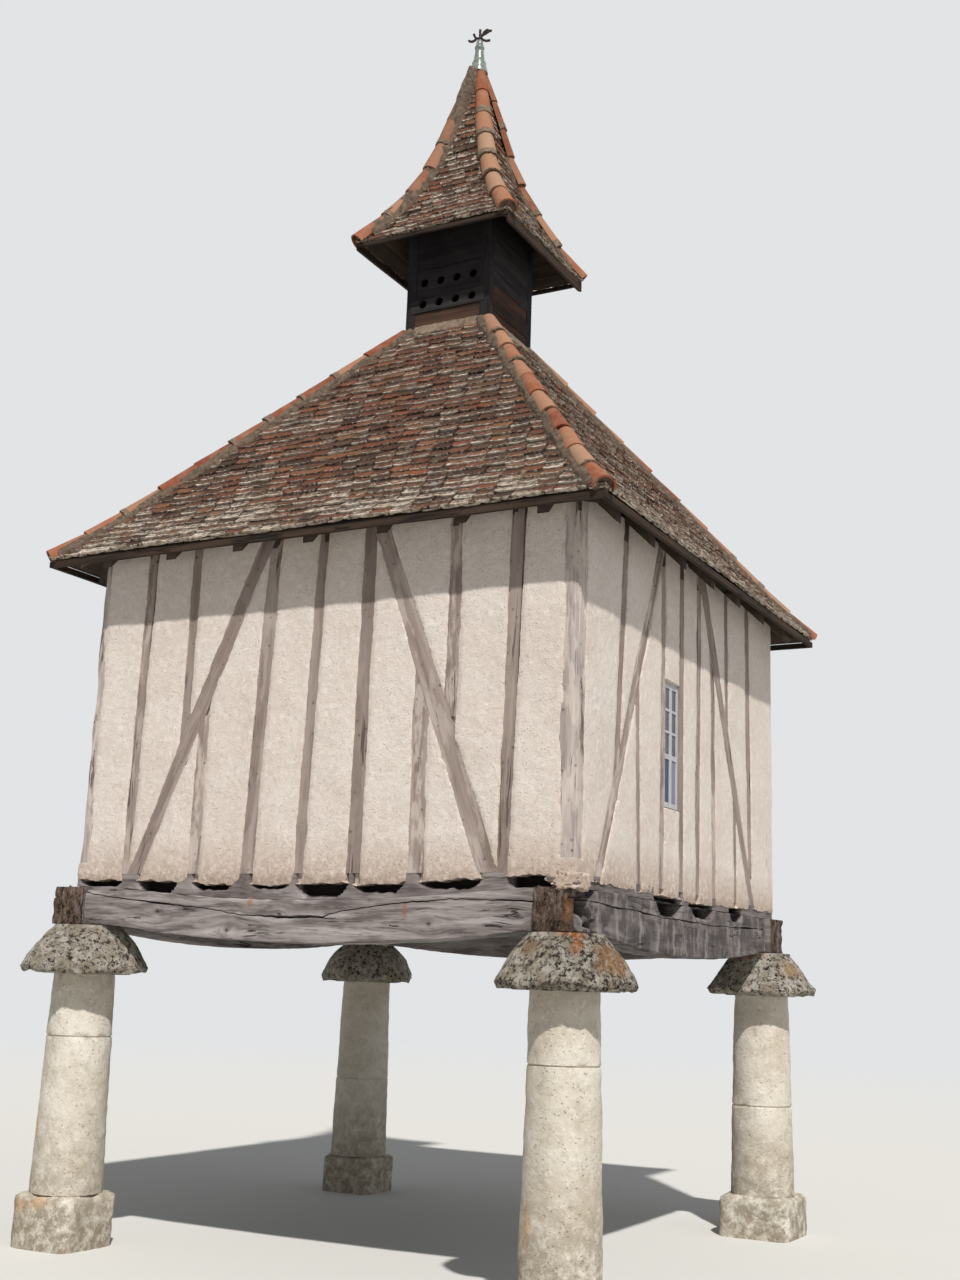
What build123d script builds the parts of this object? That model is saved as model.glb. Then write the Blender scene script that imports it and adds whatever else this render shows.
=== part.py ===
"""Square half-timbered dovecote raised on four capped stone pillars.

All sizes are in millimetres. The plan is centred on the Z axis and the ground is at Z = 0.
The front wall faces -Y, the right wall with the window faces +X.
"""
import os
from collections import namedtuple
from math import cos, hypot, radians, sin, sqrt, tan

from build123d import *

os.makedirs("parts", exist_ok=True)

# Timber frame of the chamber
frame_side = 3800
wall_thickness = 130
post_height = 2210
sill_height = 80
wall_plate_height = 150

# Beams that carry the frame; all have a belly underneath, the front and rear ones a sagged top
beam_width = 260
beam_end_depth = 270
beam_belly = 95
beam_sag = 85
sag_steps = 16
beam_seat_margin = 15
front_beam_overhang = 30
right_beam_overhang = 30
rear_beam_overhang = 30
left_beam_overhang = 170
beam_end_projection = 60

# Scoops that rot has left in the sills' faces
scoop_lift = 30
scoop_into_wood = 45
shallow_scoop = 42
deep_scoop = 75

# Pillars: square base, round shaft, mushroom cap
pillar_height = 2100
pillar_inset = 70
pillar_base_side = 560
pillar_base_height = 300
upper_drum_joint = 1358
lower_drum_joint = 950
shaft_top_radius = 210
shaft_foot_radius = 246
drum_joint_width = 14
drum_joint_depth = 8
base_shoulder = 35
base_corner_radius = 110
cap_height = 328
cap_lip = 34
cap_radius = 435
cap_top_radius = 228
cap_dome = 24

# Floor
joist_width = 90
joist_depth = 120
joist_count = 7
floor_thickness = 35

# Timbers of the walls
narrow_stud_width = 68
stud_width = 82
wide_stud_width = 98
brace_width = 102
wide_brace_width = 118
jamb_width = 78

# Window in the right wall, measured from the wall's middle and from the sill plate
window_offset = -328
window_width = 284
window_height = 858
window_sill_height = 553
window_frame_width = 34
window_frame_depth = 60
window_frame_setback = 25
window_transom_height = 330
pane_thickness = 6
panel_thickness = 16

# Main roof
eaves_overhang = 290
sprocket_run = 280
sprocket_pitch = 45
roof_pitch = 50.7
roof_thickness = 60
rafter_width = 80
rafter_depth = 90
rafter_setback = 110
rafters_each_side = 7
birdsmouth = 20
hip_rafter_width = 100
hip_rafter_depth = 130

# Hip tiles
hip_tile_foot_radius = 90
hip_tile_head_radius = 70
hip_tile_lap = 60
hip_tile_sink = 50
main_hip_tile_count = 10
lantern_hip_tile_foot_radius = 78
lantern_hip_tile_head_radius = 60
lantern_hip_tile_sink = 20
lantern_hip_tile_count = 7

# Lantern
lantern_side = 750
lantern_post_width = 80
lantern_rail_depth = 45
lantern_rail_height = 190
lantern_board_thickness = 30
kerb_projection = 32
kerb_height = 60
pigeon_hole_diameter = 72
pigeon_hole_pitch = 148
pigeon_holes_in_a_row = 4
lower_hole_height = 220
hole_row_rise = 190

# Lantern roof, measured up from where the main roof meets the lantern
lantern_eaves_height = 730
lantern_eaves_overhang = 315
lantern_eaves_pitch = 51.5
lantern_sweep_rise = 1120
lantern_sweep_inset = 510
lantern_roof_rise = 1720
lantern_apex_half_width = 48
lantern_roof_thickness = 50

# Finial
finial_height = 320
finial_foot_height = 20
finial_foot_radius = 78
finial_shoulder_radius = 72
finial_lower_neck_radius = 44
finial_lower_collar_radius = 53
finial_upper_neck_radius = 28
finial_upper_collar_radius = 37
finial_tip_radius = 19
finial_collar_height = 14
finial_rod_radius = 11
finial_rod_length = 105
ornament_thickness = 12
ornament_bar_width = 18
ornament_reach = 110

# Levels and lines that follow from the sizes above
half_frame = frame_side / 2
beam_bottom = pillar_height
beam_top = beam_bottom + beam_end_depth
sill_top = beam_top + sill_height
plate_bottom = sill_top + post_height
plate_top = plate_bottom + wall_plate_height
inner_half = half_frame - wall_thickness
pillar_centre = half_frame - pillar_inset
cap_bottom = pillar_height - cap_height
lantern_half = lantern_side / 2
eave_half = half_frame + eaves_overhang

# Each pillar stands towards x and y; its own sizes are the common ones times a share
Pillar = namedtuple("Pillar", "x y side height drum_joint cap dome")
pillars = {
    "front_left": Pillar(-1, -1, side=0.92, height=1.15, drum_joint=upper_drum_joint, cap=1.02, dome=1.1),
    "front_right": Pillar(1, -1, side=1, height=0.5, drum_joint=upper_drum_joint, cap=0.99, dome=0.8),
    "rear_right": Pillar(1, 1, side=1, height=1, drum_joint=lower_drum_joint, cap=1, dome=0.4),
    "rear_left": Pillar(-1, 1, side=0.88, height=1, drum_joint=lower_drum_joint, cap=0.97, dome=1.5),
}

sides = {
    "front": Vector(0, -1, 0),
    "right": Vector(1, 0, 0),
    "rear": Vector(0, 1, 0),
    "left": Vector(-1, 0, 0),
}


def face_plane(side):
    """Plane of a wall's outer face, seen from outside: x runs to the right, y runs up."""
    outward = sides[side]
    along = Vector(0, 0, 1).cross(outward)
    return Plane(origin=outward * half_frame, x_dir=along, z_dir=outward)


def section_plane(side):
    """Upright plane through the Z axis: x is the distance out towards that side, y runs up."""
    outward = sides[side]
    return Plane(origin=(0, 0, 0), x_dir=outward, z_dir=outward.cross(Vector(0, 0, 1)))


def finish(piece, name):
    """Label a finished piece and write it out."""
    piece.part.label = name
    export_step(piece.part, f"parts/{name}.step")


def upright(x, y):
    """Upright plane, seen from the front, whose origin stands at (x, y) on the ground."""
    return Plane(origin=(x, y, 0), x_dir=(1, 0, 0), z_dir=(0, -1, 0))


# Pillars

for name, pillar in pillars.items():
    centre_x = pillar.x * pillar_centre
    centre_y = pillar.y * pillar_centre
    base_side = pillar_base_side * pillar.side
    base_height = pillar_base_height * pillar.height
    lip_radius = cap_radius * pillar.cap
    pillar_axis = Axis((centre_x, centre_y, 0), (0, 0, 1))

    with BuildPart() as pillar_base:
        with BuildSketch(Plane.XY):
            with Locations((centre_x, centre_y)):
                RectangleRounded(base_side, base_side, base_corner_radius)
        extrude(amount=base_height)
        chamfer(pillar_base.faces().sort_by(Axis.Z)[-1].edges(), length=base_shoulder)
    finish(pillar_base, f"{name}_pillar_base")

    taper = (shaft_foot_radius - shaft_top_radius) / (cap_bottom - base_height)
    joint_radius = shaft_top_radius + taper * (cap_bottom - pillar.drum_joint)
    with BuildPart() as pillar_shaft:
        with BuildSketch(upright(centre_x, centre_y)):
            with BuildLine():
                Polyline(
                    (0, base_height),
                    (shaft_foot_radius, base_height),
                    (joint_radius, pillar.drum_joint - drum_joint_width / 2),
                    (joint_radius - drum_joint_depth, pillar.drum_joint),
                    (joint_radius, pillar.drum_joint + drum_joint_width / 2),
                    (shaft_top_radius, cap_bottom),
                    (0, cap_bottom),
                    close=True,
                )
            make_face()
        revolve(axis=pillar_axis)
    finish(pillar_shaft, f"{name}_pillar_shaft")

    # The cap's dome swells outside the straight line from its lip to its flat top
    dome = cap_dome * pillar.dome
    dome_foot = (lip_radius, cap_bottom + cap_lip)
    dome_head = (cap_top_radius, pillar_height)
    dome_length = hypot(dome_foot[0] - dome_head[0], dome_head[1] - dome_foot[1])
    dome_middle = (
        (dome_foot[0] + dome_head[0]) / 2 + dome * (dome_head[1] - dome_foot[1]) / dome_length,
        (dome_foot[1] + dome_head[1]) / 2 + dome * (dome_foot[0] - dome_head[0]) / dome_length,
    )
    with BuildPart() as pillar_cap:
        with BuildSketch(upright(centre_x, centre_y)):
            with BuildLine():
                Polyline((0, pillar_height), (0, cap_bottom), (lip_radius, cap_bottom), dome_foot)
                ThreePointArc(dome_foot, dome_middle, dome_head)
                Line(dome_head, (0, pillar_height))
            make_face()
        revolve(axis=pillar_axis)
    finish(pillar_cap, f"{name}_pillar_cap")

# Beams across the pillars: each lies on two caps and bellies down between its seats

right_beam_inner = half_frame + right_beam_overhang - beam_width
left_beam_inner = half_frame + left_beam_overhang - beam_width
rear_beam_inner = half_frame + rear_beam_overhang - beam_width
front_beam_outer = half_frame + front_beam_overhang
belly_half = pillar_centre - cap_top_radius - beam_seat_margin


def sagged_top(mode=Mode.ADD):
    """Shape between a beam's level top and the hollow that its sag leaves there."""
    points = [(-belly_half, beam_top)]
    for step in range(1, sag_steps):
        run = belly_half * (2 * step / sag_steps - 1)
        points.append((run, beam_top - beam_sag * (1 - (run / belly_half) ** 2)))
    points.append((belly_half, beam_top))
    Polygon(*points, align=None, mode=mode)


def sole_beam(name, side, outer, start, end, sag=0):
    """Beam along a wall, from start to end on that wall's face plane, bellied underneath."""
    face = face_plane(side)
    beam_face = Plane(
        origin=sides[side] * outer,
        x_dir=face.x_dir,
        z_dir=face.z_dir,
    )
    with BuildPart() as beam:
        with BuildSketch(beam_face):
            with BuildLine():
                Polyline((-belly_half, beam_bottom), (start, beam_bottom), (start, beam_top),
                         (end, beam_top), (end, beam_bottom), (belly_half, beam_bottom))
                ThreePointArc(
                    (belly_half, beam_bottom),
                    (0, beam_bottom - beam_belly),
                    (-belly_half, beam_bottom),
                )
            make_face()
            if sag:
                sagged_top(mode=Mode.SUBTRACT)
        extrude(amount=-beam_width)
    finish(beam, f"{name}_sole_beam")


side_beam_front = half_frame + beam_end_projection
sole_beam("front", "front", front_beam_outer, -left_beam_inner, right_beam_inner, sag=beam_sag)
sole_beam("right", "right", half_frame + right_beam_overhang, -side_beam_front, rear_beam_inner)
sole_beam("left", "left", half_frame + left_beam_overhang,
          -half_frame - beam_end_projection, side_beam_front)
sole_beam("rear", "rear", half_frame + rear_beam_overhang,
          -half_frame - right_beam_overhang - beam_end_projection, left_beam_inner, sag=beam_sag)

# Sill plates on the beams, the side ones let in between the front and the rear one.
# The front and rear ones swell downwards to fill the sag of their beams.

front_scoops = (
    (-0.99, -0.79, shallow_scoop),
    (-0.72, -0.54, deep_scoop),
    (-0.48, -0.29, shallow_scoop),
    (-0.23, -0.05, shallow_scoop),
    (-0.04, 0.18, deep_scoop),
    (0.19, 0.4, deep_scoop),
    (0.44, 0.68, shallow_scoop),
    (0.77, 0.94, shallow_scoop),
)
right_scoops = (
    (-0.34, -0.08, shallow_scoop),
    (0.02, 0.27, shallow_scoop),
    (0.44, 0.6, shallow_scoop),
)


def scoop_points(start, end, depth):
    """Left end, lowest point and right end of a hollow with a level top and a rounded bottom."""
    scoop_top = sill_top - scoop_lift
    return (
        (start * half_frame, scoop_top),
        ((start + end) / 2 * half_frame, scoop_top - depth),
        (end * half_frame, scoop_top),
    )


with BuildPart() as front_and_rear_sill_plates:
    for side in ("front", "rear"):
        with BuildSketch(face_plane(side)):
            with Locations((0, beam_top)):
                Rectangle(frame_side, sill_height, align=(Align.CENTER, Align.MIN))
            sagged_top()
        extrude(amount=-wall_thickness)
    with BuildSketch(face_plane("front")):
        for scoop in front_scoops:
            with BuildLine():
                ThreePointArc(*scoop_points(*scoop))
                Line(scoop_points(*scoop)[2], scoop_points(*scoop)[0])
            make_face()
    extrude(amount=-scoop_into_wood, mode=Mode.SUBTRACT)
finish(front_and_rear_sill_plates, "front_and_rear_sill_plates")

with BuildPart() as side_sill_plates:
    for side in ("right", "left"):
        with BuildSketch(face_plane(side)):
            with Locations((0, beam_top)):
                Rectangle(2 * inner_half, sill_height, align=(Align.CENTER, Align.MIN))
        extrude(amount=-wall_thickness)
    with BuildSketch(face_plane("right")):
        for scoop in right_scoops:
            with BuildLine():
                ThreePointArc(*scoop_points(*scoop))
                Line(scoop_points(*scoop)[2], scoop_points(*scoop)[0])
            make_face()
    extrude(amount=-scoop_into_wood, mode=Mode.SUBTRACT)
finish(side_sill_plates, "side_sill_plates")

# Floor: joists housed between the side beams, boards over them inside the sills

joist_run = 2 * (rear_beam_inner - joist_width)
joist_length = left_beam_inner + right_beam_inner
with BuildPart() as floor_joists:
    with BuildSketch(Plane.XY.offset(beam_top - joist_depth)):
        with Locations(((right_beam_inner - left_beam_inner) / 2, 0)):
            with GridLocations(0, joist_run / joist_count, 1, joist_count):
                Rectangle(joist_length, joist_width)
    extrude(amount=joist_depth)
finish(floor_joists, "floor_joists")

with BuildPart() as floor_boards:
    with BuildSketch(Plane.XY.offset(beam_top)):
        Rectangle(2 * inner_half, 2 * inner_half)
    extrude(amount=floor_thickness)
finish(floor_boards, "floor_boards")

# Wall timbers. Places along a wall are shares of half the frame, from its middle, seen from outside.
# A stud that meets a brace stops on it: it is the part above the brace, or the part below.

Brace = namedtuple("Brace", "foot head width")
Stud = namedtuple("Stud", "foot head width above below", defaults=(None, None))

front_left_brace = Brace(foot=-0.737, head=-0.253, width=brace_width)
front_right_brace = Brace(foot=0.702, head=0.258, width=wide_brace_width)
front_studs = (
    Stud(foot=-0.774, head=-0.763, width=stud_width),
    Stud(foot=-0.560, head=-0.552, width=narrow_stud_width, above=front_left_brace),
    Stud(foot=-0.474, head=-0.468, width=stud_width, below=front_left_brace),
    Stud(foot=-0.242, head=-0.201, width=wide_stud_width),
    Stud(foot=-0.024, head=0.007, width=narrow_stud_width),
    Stud(foot=0.196, head=0.205, width=wide_stud_width),
    Stud(foot=0.433, head=0.430, width=wide_stud_width, below=front_right_brace),
    Stud(foot=0.544, head=0.545, width=stud_width, above=front_right_brace),
    Stud(foot=0.744, head=0.780, width=wide_stud_width),
)

side_left_brace = Brace(foot=-0.822, head=-0.315, width=brace_width)
side_right_brace = Brace(foot=0.722, head=0.172, width=wide_brace_width)
jamb_reach = (window_width + jamb_width) / 2
left_jamb = (window_offset - jamb_reach) / half_frame
right_jamb = (window_offset + jamb_reach) / half_frame
side_studs = (
    Stud(foot=-0.712, head=-0.621, width=stud_width, above=side_left_brace),
    Stud(foot=-0.481, head=-0.528, width=narrow_stud_width, below=side_left_brace),
    Stud(foot=left_jamb, head=left_jamb, width=jamb_width),
    Stud(foot=right_jamb, head=right_jamb, width=jamb_width),
    Stud(foot=0.092, head=0.111, width=stud_width),
    Stud(foot=0.275, head=0.259, width=stud_width, below=side_right_brace),
    Stud(foot=0.434, head=0.421, width=narrow_stud_width, above=side_right_brace),
    Stud(foot=0.524, head=0.512, width=narrow_stud_width, below=side_right_brace),
    Stud(foot=0.710, head=0.681, width=wide_stud_width, above=side_right_brace),
)

wall_braces_of = {
    "front": (front_left_brace, front_right_brace),
    "right": (side_left_brace, side_right_brace),
    "rear": (front_left_brace, front_right_brace),
    "left": (side_left_brace, side_right_brace),
}
wall_studs_of = {"front": front_studs, "right": side_studs, "rear": front_studs, "left": side_studs}


def centre_at(timber, height):
    """Place of a leaning timber's middle at a height, along the wall in millimetres."""
    share = (height - sill_top) / post_height
    return half_frame * (timber.foot + (timber.head - timber.foot) * share)


def meeting_height(stud, brace):
    """Height where the middle lines of a stud and a brace cross."""
    gap = centre_at(brace, sill_top) - centre_at(stud, sill_top)
    closing = gap - (centre_at(brace, plate_bottom) - centre_at(stud, plate_bottom))
    return sill_top + post_height * gap / closing


def timber_outline(timber, low, high, mode=Mode.ADD):
    """Leaning bar between two heights; its width is measured along the wall."""
    half = timber.width / 2
    Polygon(
        (centre_at(timber, low) - half, low),
        (centre_at(timber, low) + half, low),
        (centre_at(timber, high) + half, high),
        (centre_at(timber, high) - half, high),
        align=None,
        mode=mode,
    )


def stud_outlines(side, mode=Mode.ADD):
    """All the studs of a wall, each from the sill or its brace to its brace or the plate."""
    for stud in wall_studs_of[side]:
        low = meeting_height(stud, stud.above) if stud.above else sill_top
        high = meeting_height(stud, stud.below) if stud.below else plate_bottom
        timber_outline(stud, low, high, mode)


def brace_outlines(side, mode=Mode.ADD):
    """The two raking braces of a wall, from the sill to the plate."""
    for brace in wall_braces_of[side]:
        timber_outline(brace, sill_top, plate_bottom, mode)


# Corner posts stand on the sills and carry the plates

post_centre = half_frame - wall_thickness / 2
with BuildPart() as corner_posts:
    with BuildSketch(Plane.XY.offset(sill_top)):
        with GridLocations(2 * post_centre, 2 * post_centre, 2, 2):
            Rectangle(wall_thickness, wall_thickness)
    extrude(amount=post_height)
finish(corner_posts, "corner_posts")

for side in sides:
    with BuildPart() as studs:
        with BuildSketch(face_plane(side)):
            stud_outlines(side)
            brace_outlines(side, mode=Mode.SUBTRACT)
        extrude(amount=-wall_thickness)
    finish(studs, f"{side}_studs")

with BuildPart() as wall_braces:
    for side in sides:
        with BuildSketch(face_plane(side)):
            brace_outlines(side)
        extrude(amount=-wall_thickness)
finish(wall_braces, "wall_braces")

# Infill panels fill every bay between the timbers; only the right wall has a window

window_bottom = sill_top + window_sill_height
window_middle = window_bottom + window_height / 2

for side in sides:
    with BuildPart() as infill:
        with BuildSketch(face_plane(side)):
            with Locations((0, sill_top)):
                Rectangle(2 * inner_half, post_height, align=(Align.CENTER, Align.MIN))
            stud_outlines(side, mode=Mode.SUBTRACT)
            brace_outlines(side, mode=Mode.SUBTRACT)
            if side == "right":
                with Locations((window_offset, window_middle)):
                    Rectangle(window_width, window_height, mode=Mode.SUBTRACT)
        extrude(amount=-wall_thickness)
    finish(infill, f"{side}_infill")

# Window: a fixed frame with a transom and a mullion, panes above and solid lights below

window_plane = face_plane("right").offset(-window_frame_setback)
light_width = (window_width - 3 * window_frame_width) / 2
lower_light_height = window_transom_height - window_frame_width
upper_light_height = window_height - window_transom_height - 2 * window_frame_width
light_shift = (light_width + window_frame_width) / 2
lower_light_middle = window_bottom + window_frame_width + lower_light_height / 2
upper_light_middle = window_bottom + window_height - window_frame_width - upper_light_height / 2


def window_lights(middle, height, mode=Mode.ADD):
    """The pair of lights, left and right of the mullion, at one level."""
    with Locations((window_offset - light_shift, middle), (window_offset + light_shift, middle)):
        Rectangle(light_width, height, mode=mode)


with BuildPart() as window_frame:
    with BuildSketch(window_plane):
        with Locations((window_offset, window_middle)):
            Rectangle(window_width, window_height)
        window_lights(lower_light_middle, lower_light_height, mode=Mode.SUBTRACT)
        window_lights(upper_light_middle, upper_light_height, mode=Mode.SUBTRACT)
    extrude(amount=-window_frame_depth)
finish(window_frame, "window_frame")

with BuildPart() as window_glass:
    with BuildSketch(window_plane.offset(-window_frame_depth / 2)):
        window_lights(upper_light_middle, upper_light_height)
    extrude(amount=-pane_thickness)
finish(window_glass, "window_glass")

with BuildPart() as window_lower_panels:
    with BuildSketch(window_plane.offset(-window_frame_depth / 2)):
        window_lights(lower_light_middle, lower_light_height)
    extrude(amount=-panel_thickness)
finish(window_lower_panels, "window_lower_panels")

# Wall plates on the posts and studs

with BuildPart() as front_and_rear_wall_plates:
    for side in ("front", "rear"):
        with BuildSketch(face_plane(side)):
            with Locations((0, plate_bottom)):
                Rectangle(frame_side, wall_plate_height, align=(Align.CENTER, Align.MIN))
        extrude(amount=-wall_thickness)
finish(front_and_rear_wall_plates, "front_and_rear_wall_plates")

with BuildPart() as side_wall_plates:
    for side in ("right", "left"):
        with BuildSketch(face_plane(side)):
            with Locations((0, plate_bottom)):
                Rectangle(2 * inner_half, wall_plate_height, align=(Align.CENTER, Align.MIN))
        extrude(amount=-wall_thickness)
finish(side_wall_plates, "side_wall_plates")

# Main roof: a steep pyramid with flatter sprocketed eaves. The rafters' underside
# crosses the wall face a birdsmouth below the plate's top, and fixes the roof's surface.

roof_depth = roof_thickness + rafter_depth
knee_run = eave_half - sprocket_run
eave_height = (
    plate_top - birdsmouth
    - eaves_overhang * tan(radians(sprocket_pitch))
    + roof_depth / cos(radians(sprocket_pitch))
)
knee_height = eave_height + sprocket_run * tan(radians(sprocket_pitch))


def roof_height(run, depth=0):
    """Height of the line that lies a depth under the roof's surface, at a run out from the axis."""
    lean = radians((roof_pitch + sprocket_pitch) / 2)
    shift = depth / cos(radians((roof_pitch - sprocket_pitch) / 2))
    bend_run = knee_run - shift * sin(lean)
    bend_height = knee_height - shift * cos(lean)
    pitch = roof_pitch if run < bend_run else sprocket_pitch
    return bend_height + (bend_run - run) * tan(radians(pitch))


def roof_bend(depth):
    """Point where that line turns from the main pitch to the sprocket's."""
    lean = radians((roof_pitch + sprocket_pitch) / 2)
    shift = depth / cos(radians((roof_pitch - sprocket_pitch) / 2))
    return (knee_run - shift * sin(lean), knee_height - shift * cos(lean))


def roof_layer(inner, outer, top, bottom):
    """Outline of a layer of the roof between two depths and two runs from the axis."""
    return [
        (outer, roof_height(outer, bottom)),
        (outer, roof_height(outer, top)),
        roof_bend(top),
        (inner, roof_height(inner, top)),
        (inner, roof_height(inner, bottom)),
        roof_bend(bottom),
    ]


def hip_cut(side, turn, setback=0):
    """Upright plane along a hip beside this face, moved into the face by a setback."""
    outward = sides[side]
    along = Vector(0, 0, 1).cross(outward) * turn
    normal = (outward - along).normalized()
    return Plane(origin=normal * setback, z_dir=normal)


roof_slopes = {}
for side in sides:
    with BuildPart() as roof_slope:
        with BuildSketch(section_plane(side)):
            Polygon(*roof_layer(lantern_half, eave_half, 0, roof_thickness), align=None)
        extrude(amount=eave_half, both=True)
        split(bisect_by=hip_cut(side, 1), keep=Keep.TOP)
        split(bisect_by=hip_cut(side, -1), keep=Keep.TOP)
    finish(roof_slope, f"{side}_roof_slope")
    roof_slopes[side] = roof_slope.part

# Everything under the main roof's surface, to trim what lies on the hips


def roof_body(section, half):
    """Four-sided body with the same section over both axes."""
    with BuildPart() as body:
        for side, mode in (("front", Mode.ADD), ("right", Mode.INTERSECT)):
            with BuildSketch(section_plane(side)):
                Polygon(*section, align=None)
            extrude(amount=half, both=True, mode=mode)
    return body.part


roof_surface = [
    (eave_half, eave_height - 2 * roof_depth),
    (eave_half, eave_height),
    roof_bend(0),
    (lantern_half, roof_height(lantern_half)),
]
under_roof = roof_body(roof_surface + [(-run, height) for run, height in reversed(roof_surface)], eave_half)

# Rafters: hip rafters on the corners, common rafters stopped on them or on the lantern's rails

rail_face = lantern_half - lantern_board_thickness
rafter_foot = eave_half - rafter_setback
hip_half = hip_rafter_width / 2
hip_foot = rafter_foot - hip_half
hip_head = lantern_half - lantern_post_width
plates = [front_and_rear_wall_plates.part, side_wall_plates.part]
lantern_base = roof_height(lantern_half)

with BuildPart() as hip_rafters:
    for pillar in pillars.values():
        corner = Vector(pillar.x, pillar.y, 0).normalized()
        hip_plane = Plane(origin=(0, 0, 0), x_dir=corner, z_dir=corner.cross(Vector(0, 0, 1)))
        upper_runs = [
            (hip_foot, roof_height(hip_foot, roof_thickness)),
            roof_bend(roof_thickness),
            (hip_head, roof_height(hip_head, roof_thickness)),
        ]
        upper = [(sqrt(2) * run, height) for run, height in upper_runs]
        lower = [(run, height - hip_rafter_depth) for run, height in reversed(upper)]
        with BuildSketch(hip_plane):
            Polygon(*upper, *lower, align=None)
        extrude(amount=hip_half, both=True)
    add(list(roof_slopes.values()) + plates, mode=Mode.SUBTRACT)
    with BuildSketch(Plane.XY.offset(plate_top)):
        Rectangle(lantern_side, lantern_side)
    extrude(amount=lantern_base, mode=Mode.SUBTRACT)
finish(hip_rafters, "hip_rafters")

rafter_step = (2 * inner_half - rafter_width) / (rafters_each_side - 1)
common_rafter_solids = []
for side in sides:
    along = face_plane(side).x_dir
    for index in range(rafters_each_side):
        shift = (index - (rafters_each_side - 1) / 2) * rafter_step
        section = section_plane(side)
        section.origin = along * shift
        with BuildPart() as rafter:
            with BuildSketch(section):
                Polygon(*roof_layer(rail_face, rafter_foot, roof_thickness, roof_depth), align=None)
            extrude(amount=rafter_width / 2, both=True)
            split(bisect_by=hip_cut(side, 1, hip_half), keep=Keep.TOP)
            split(bisect_by=hip_cut(side, -1, hip_half), keep=Keep.TOP)
            add(plates, mode=Mode.SUBTRACT)
        common_rafter_solids.append(rafter.part)

with BuildPart() as common_rafters:
    add(common_rafter_solids)
finish(common_rafters, "common_rafters")

# Lantern: posts and rails under boards, with pigeon holes through the front boards

lantern_eave_half = lantern_half + lantern_eaves_overhang
lantern_eave_height = lantern_base + lantern_eaves_height
sweep_foot = (lantern_eave_half, lantern_eave_height)
sweep_head = (lantern_eave_half - lantern_sweep_inset, lantern_eave_height + lantern_sweep_rise)
apex = (lantern_apex_half_width, lantern_eave_height + lantern_roof_rise)
eaves_lean = radians(lantern_eaves_pitch)
sweep_radius = hypot(lantern_sweep_inset, lantern_sweep_rise) ** 2 / 2 / (
    lantern_sweep_rise * cos(eaves_lean) - lantern_sweep_inset * sin(eaves_lean)
)


def lantern_roof_height(run):
    """Height of the lantern roof's hollow sweep at a run out from the axis."""
    centre_run = lantern_eave_half + sweep_radius * sin(eaves_lean)
    centre_height = lantern_eave_height + sweep_radius * cos(eaves_lean)
    return centre_height - sqrt(sweep_radius**2 - (centre_run - run) ** 2)


def lantern_roof_run(climb):
    """Run out from the axis of the lantern roof's surface, at a climb above its eaves."""
    if climb > lantern_sweep_rise:
        share = (climb - lantern_sweep_rise) / (lantern_roof_rise - lantern_sweep_rise)
        return sweep_head[0] + (apex[0] - sweep_head[0]) * share
    centre_run = lantern_eave_half + sweep_radius * sin(eaves_lean)
    centre_climb = sweep_radius * cos(eaves_lean)
    return centre_run - sqrt(sweep_radius**2 - (centre_climb - climb) ** 2)


rail_bottom = roof_height(rail_face, roof_depth)
board_bottom = roof_height(rail_face, roof_thickness)
lantern_top = lantern_roof_height(lantern_half + lantern_roof_thickness)
lantern_post_centre = lantern_half - lantern_post_width / 2
board_run = lantern_side - 2 * lantern_post_width

with BuildPart() as lantern_posts:
    with BuildSketch(Plane.XY.offset(rail_bottom)):
        with GridLocations(2 * lantern_post_centre, 2 * lantern_post_centre, 2, 2):
            Rectangle(lantern_post_width, lantern_post_width)
    extrude(amount=lantern_top - rail_bottom)
finish(lantern_posts, "lantern_posts")

with BuildPart() as lantern_rails:
    for side in sides:
        face = Plane(origin=sides[side] * rail_face, x_dir=face_plane(side).x_dir, z_dir=sides[side])
        with BuildSketch(face):
            with Locations((0, rail_bottom), (0, lantern_top - lantern_rail_height)):
                Rectangle(board_run, lantern_rail_height, align=(Align.CENTER, Align.MIN))
        extrude(amount=-lantern_rail_depth)
finish(lantern_rails, "lantern_rails")


def lantern_boards(name, pair, holed=None):
    """Boards between the posts on two opposite sides, with pigeon holes through one of them."""
    with BuildPart() as boards:
        for side in pair:
            face = Plane(origin=sides[side] * lantern_half, x_dir=face_plane(side).x_dir, z_dir=sides[side])
            with BuildSketch(face):
                with Locations((0, board_bottom)):
                    Rectangle(board_run, lantern_top - board_bottom, align=(Align.CENTER, Align.MIN))
                if side == holed:
                    with Locations((0, lantern_base + lower_hole_height + hole_row_rise / 2)):
                        with GridLocations(pigeon_hole_pitch, hole_row_rise, pigeon_holes_in_a_row, 2):
                            Circle(pigeon_hole_diameter / 2, mode=Mode.SUBTRACT)
            extrude(amount=-lantern_board_thickness)
    finish(boards, name)


lantern_boards("lantern_front_and_rear_boards", ("front", "rear"), holed="front")
lantern_boards("lantern_side_boards", ("right", "left"))

kerb_half = lantern_half + kerb_projection
kerb_bottom = roof_height(kerb_half, roof_thickness)
with BuildPart() as lantern_kerb:
    with BuildSketch(Plane.XY.offset(kerb_bottom)):
        Rectangle(2 * kerb_half, 2 * kerb_half)
        Rectangle(lantern_side, lantern_side, mode=Mode.SUBTRACT)
    extrude(amount=lantern_base + kerb_height - kerb_bottom)
    add(under_roof, mode=Mode.SUBTRACT)
finish(lantern_kerb, "lantern_kerb")

# Lantern roof: four hollow-swept slopes in one shell, open underneath

sweep_tangent = (-cos(eaves_lean), sin(eaves_lean))
inner_foot = (sweep_foot[0] - lantern_roof_thickness, sweep_foot[1])
inner_head = (sweep_head[0] - lantern_roof_thickness, sweep_head[1])
inner_apex = (apex[0] - lantern_roof_thickness, apex[1])
eave_edge = (sweep_foot[0], sweep_foot[1] - lantern_roof_thickness * tan(eaves_lean))

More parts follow.
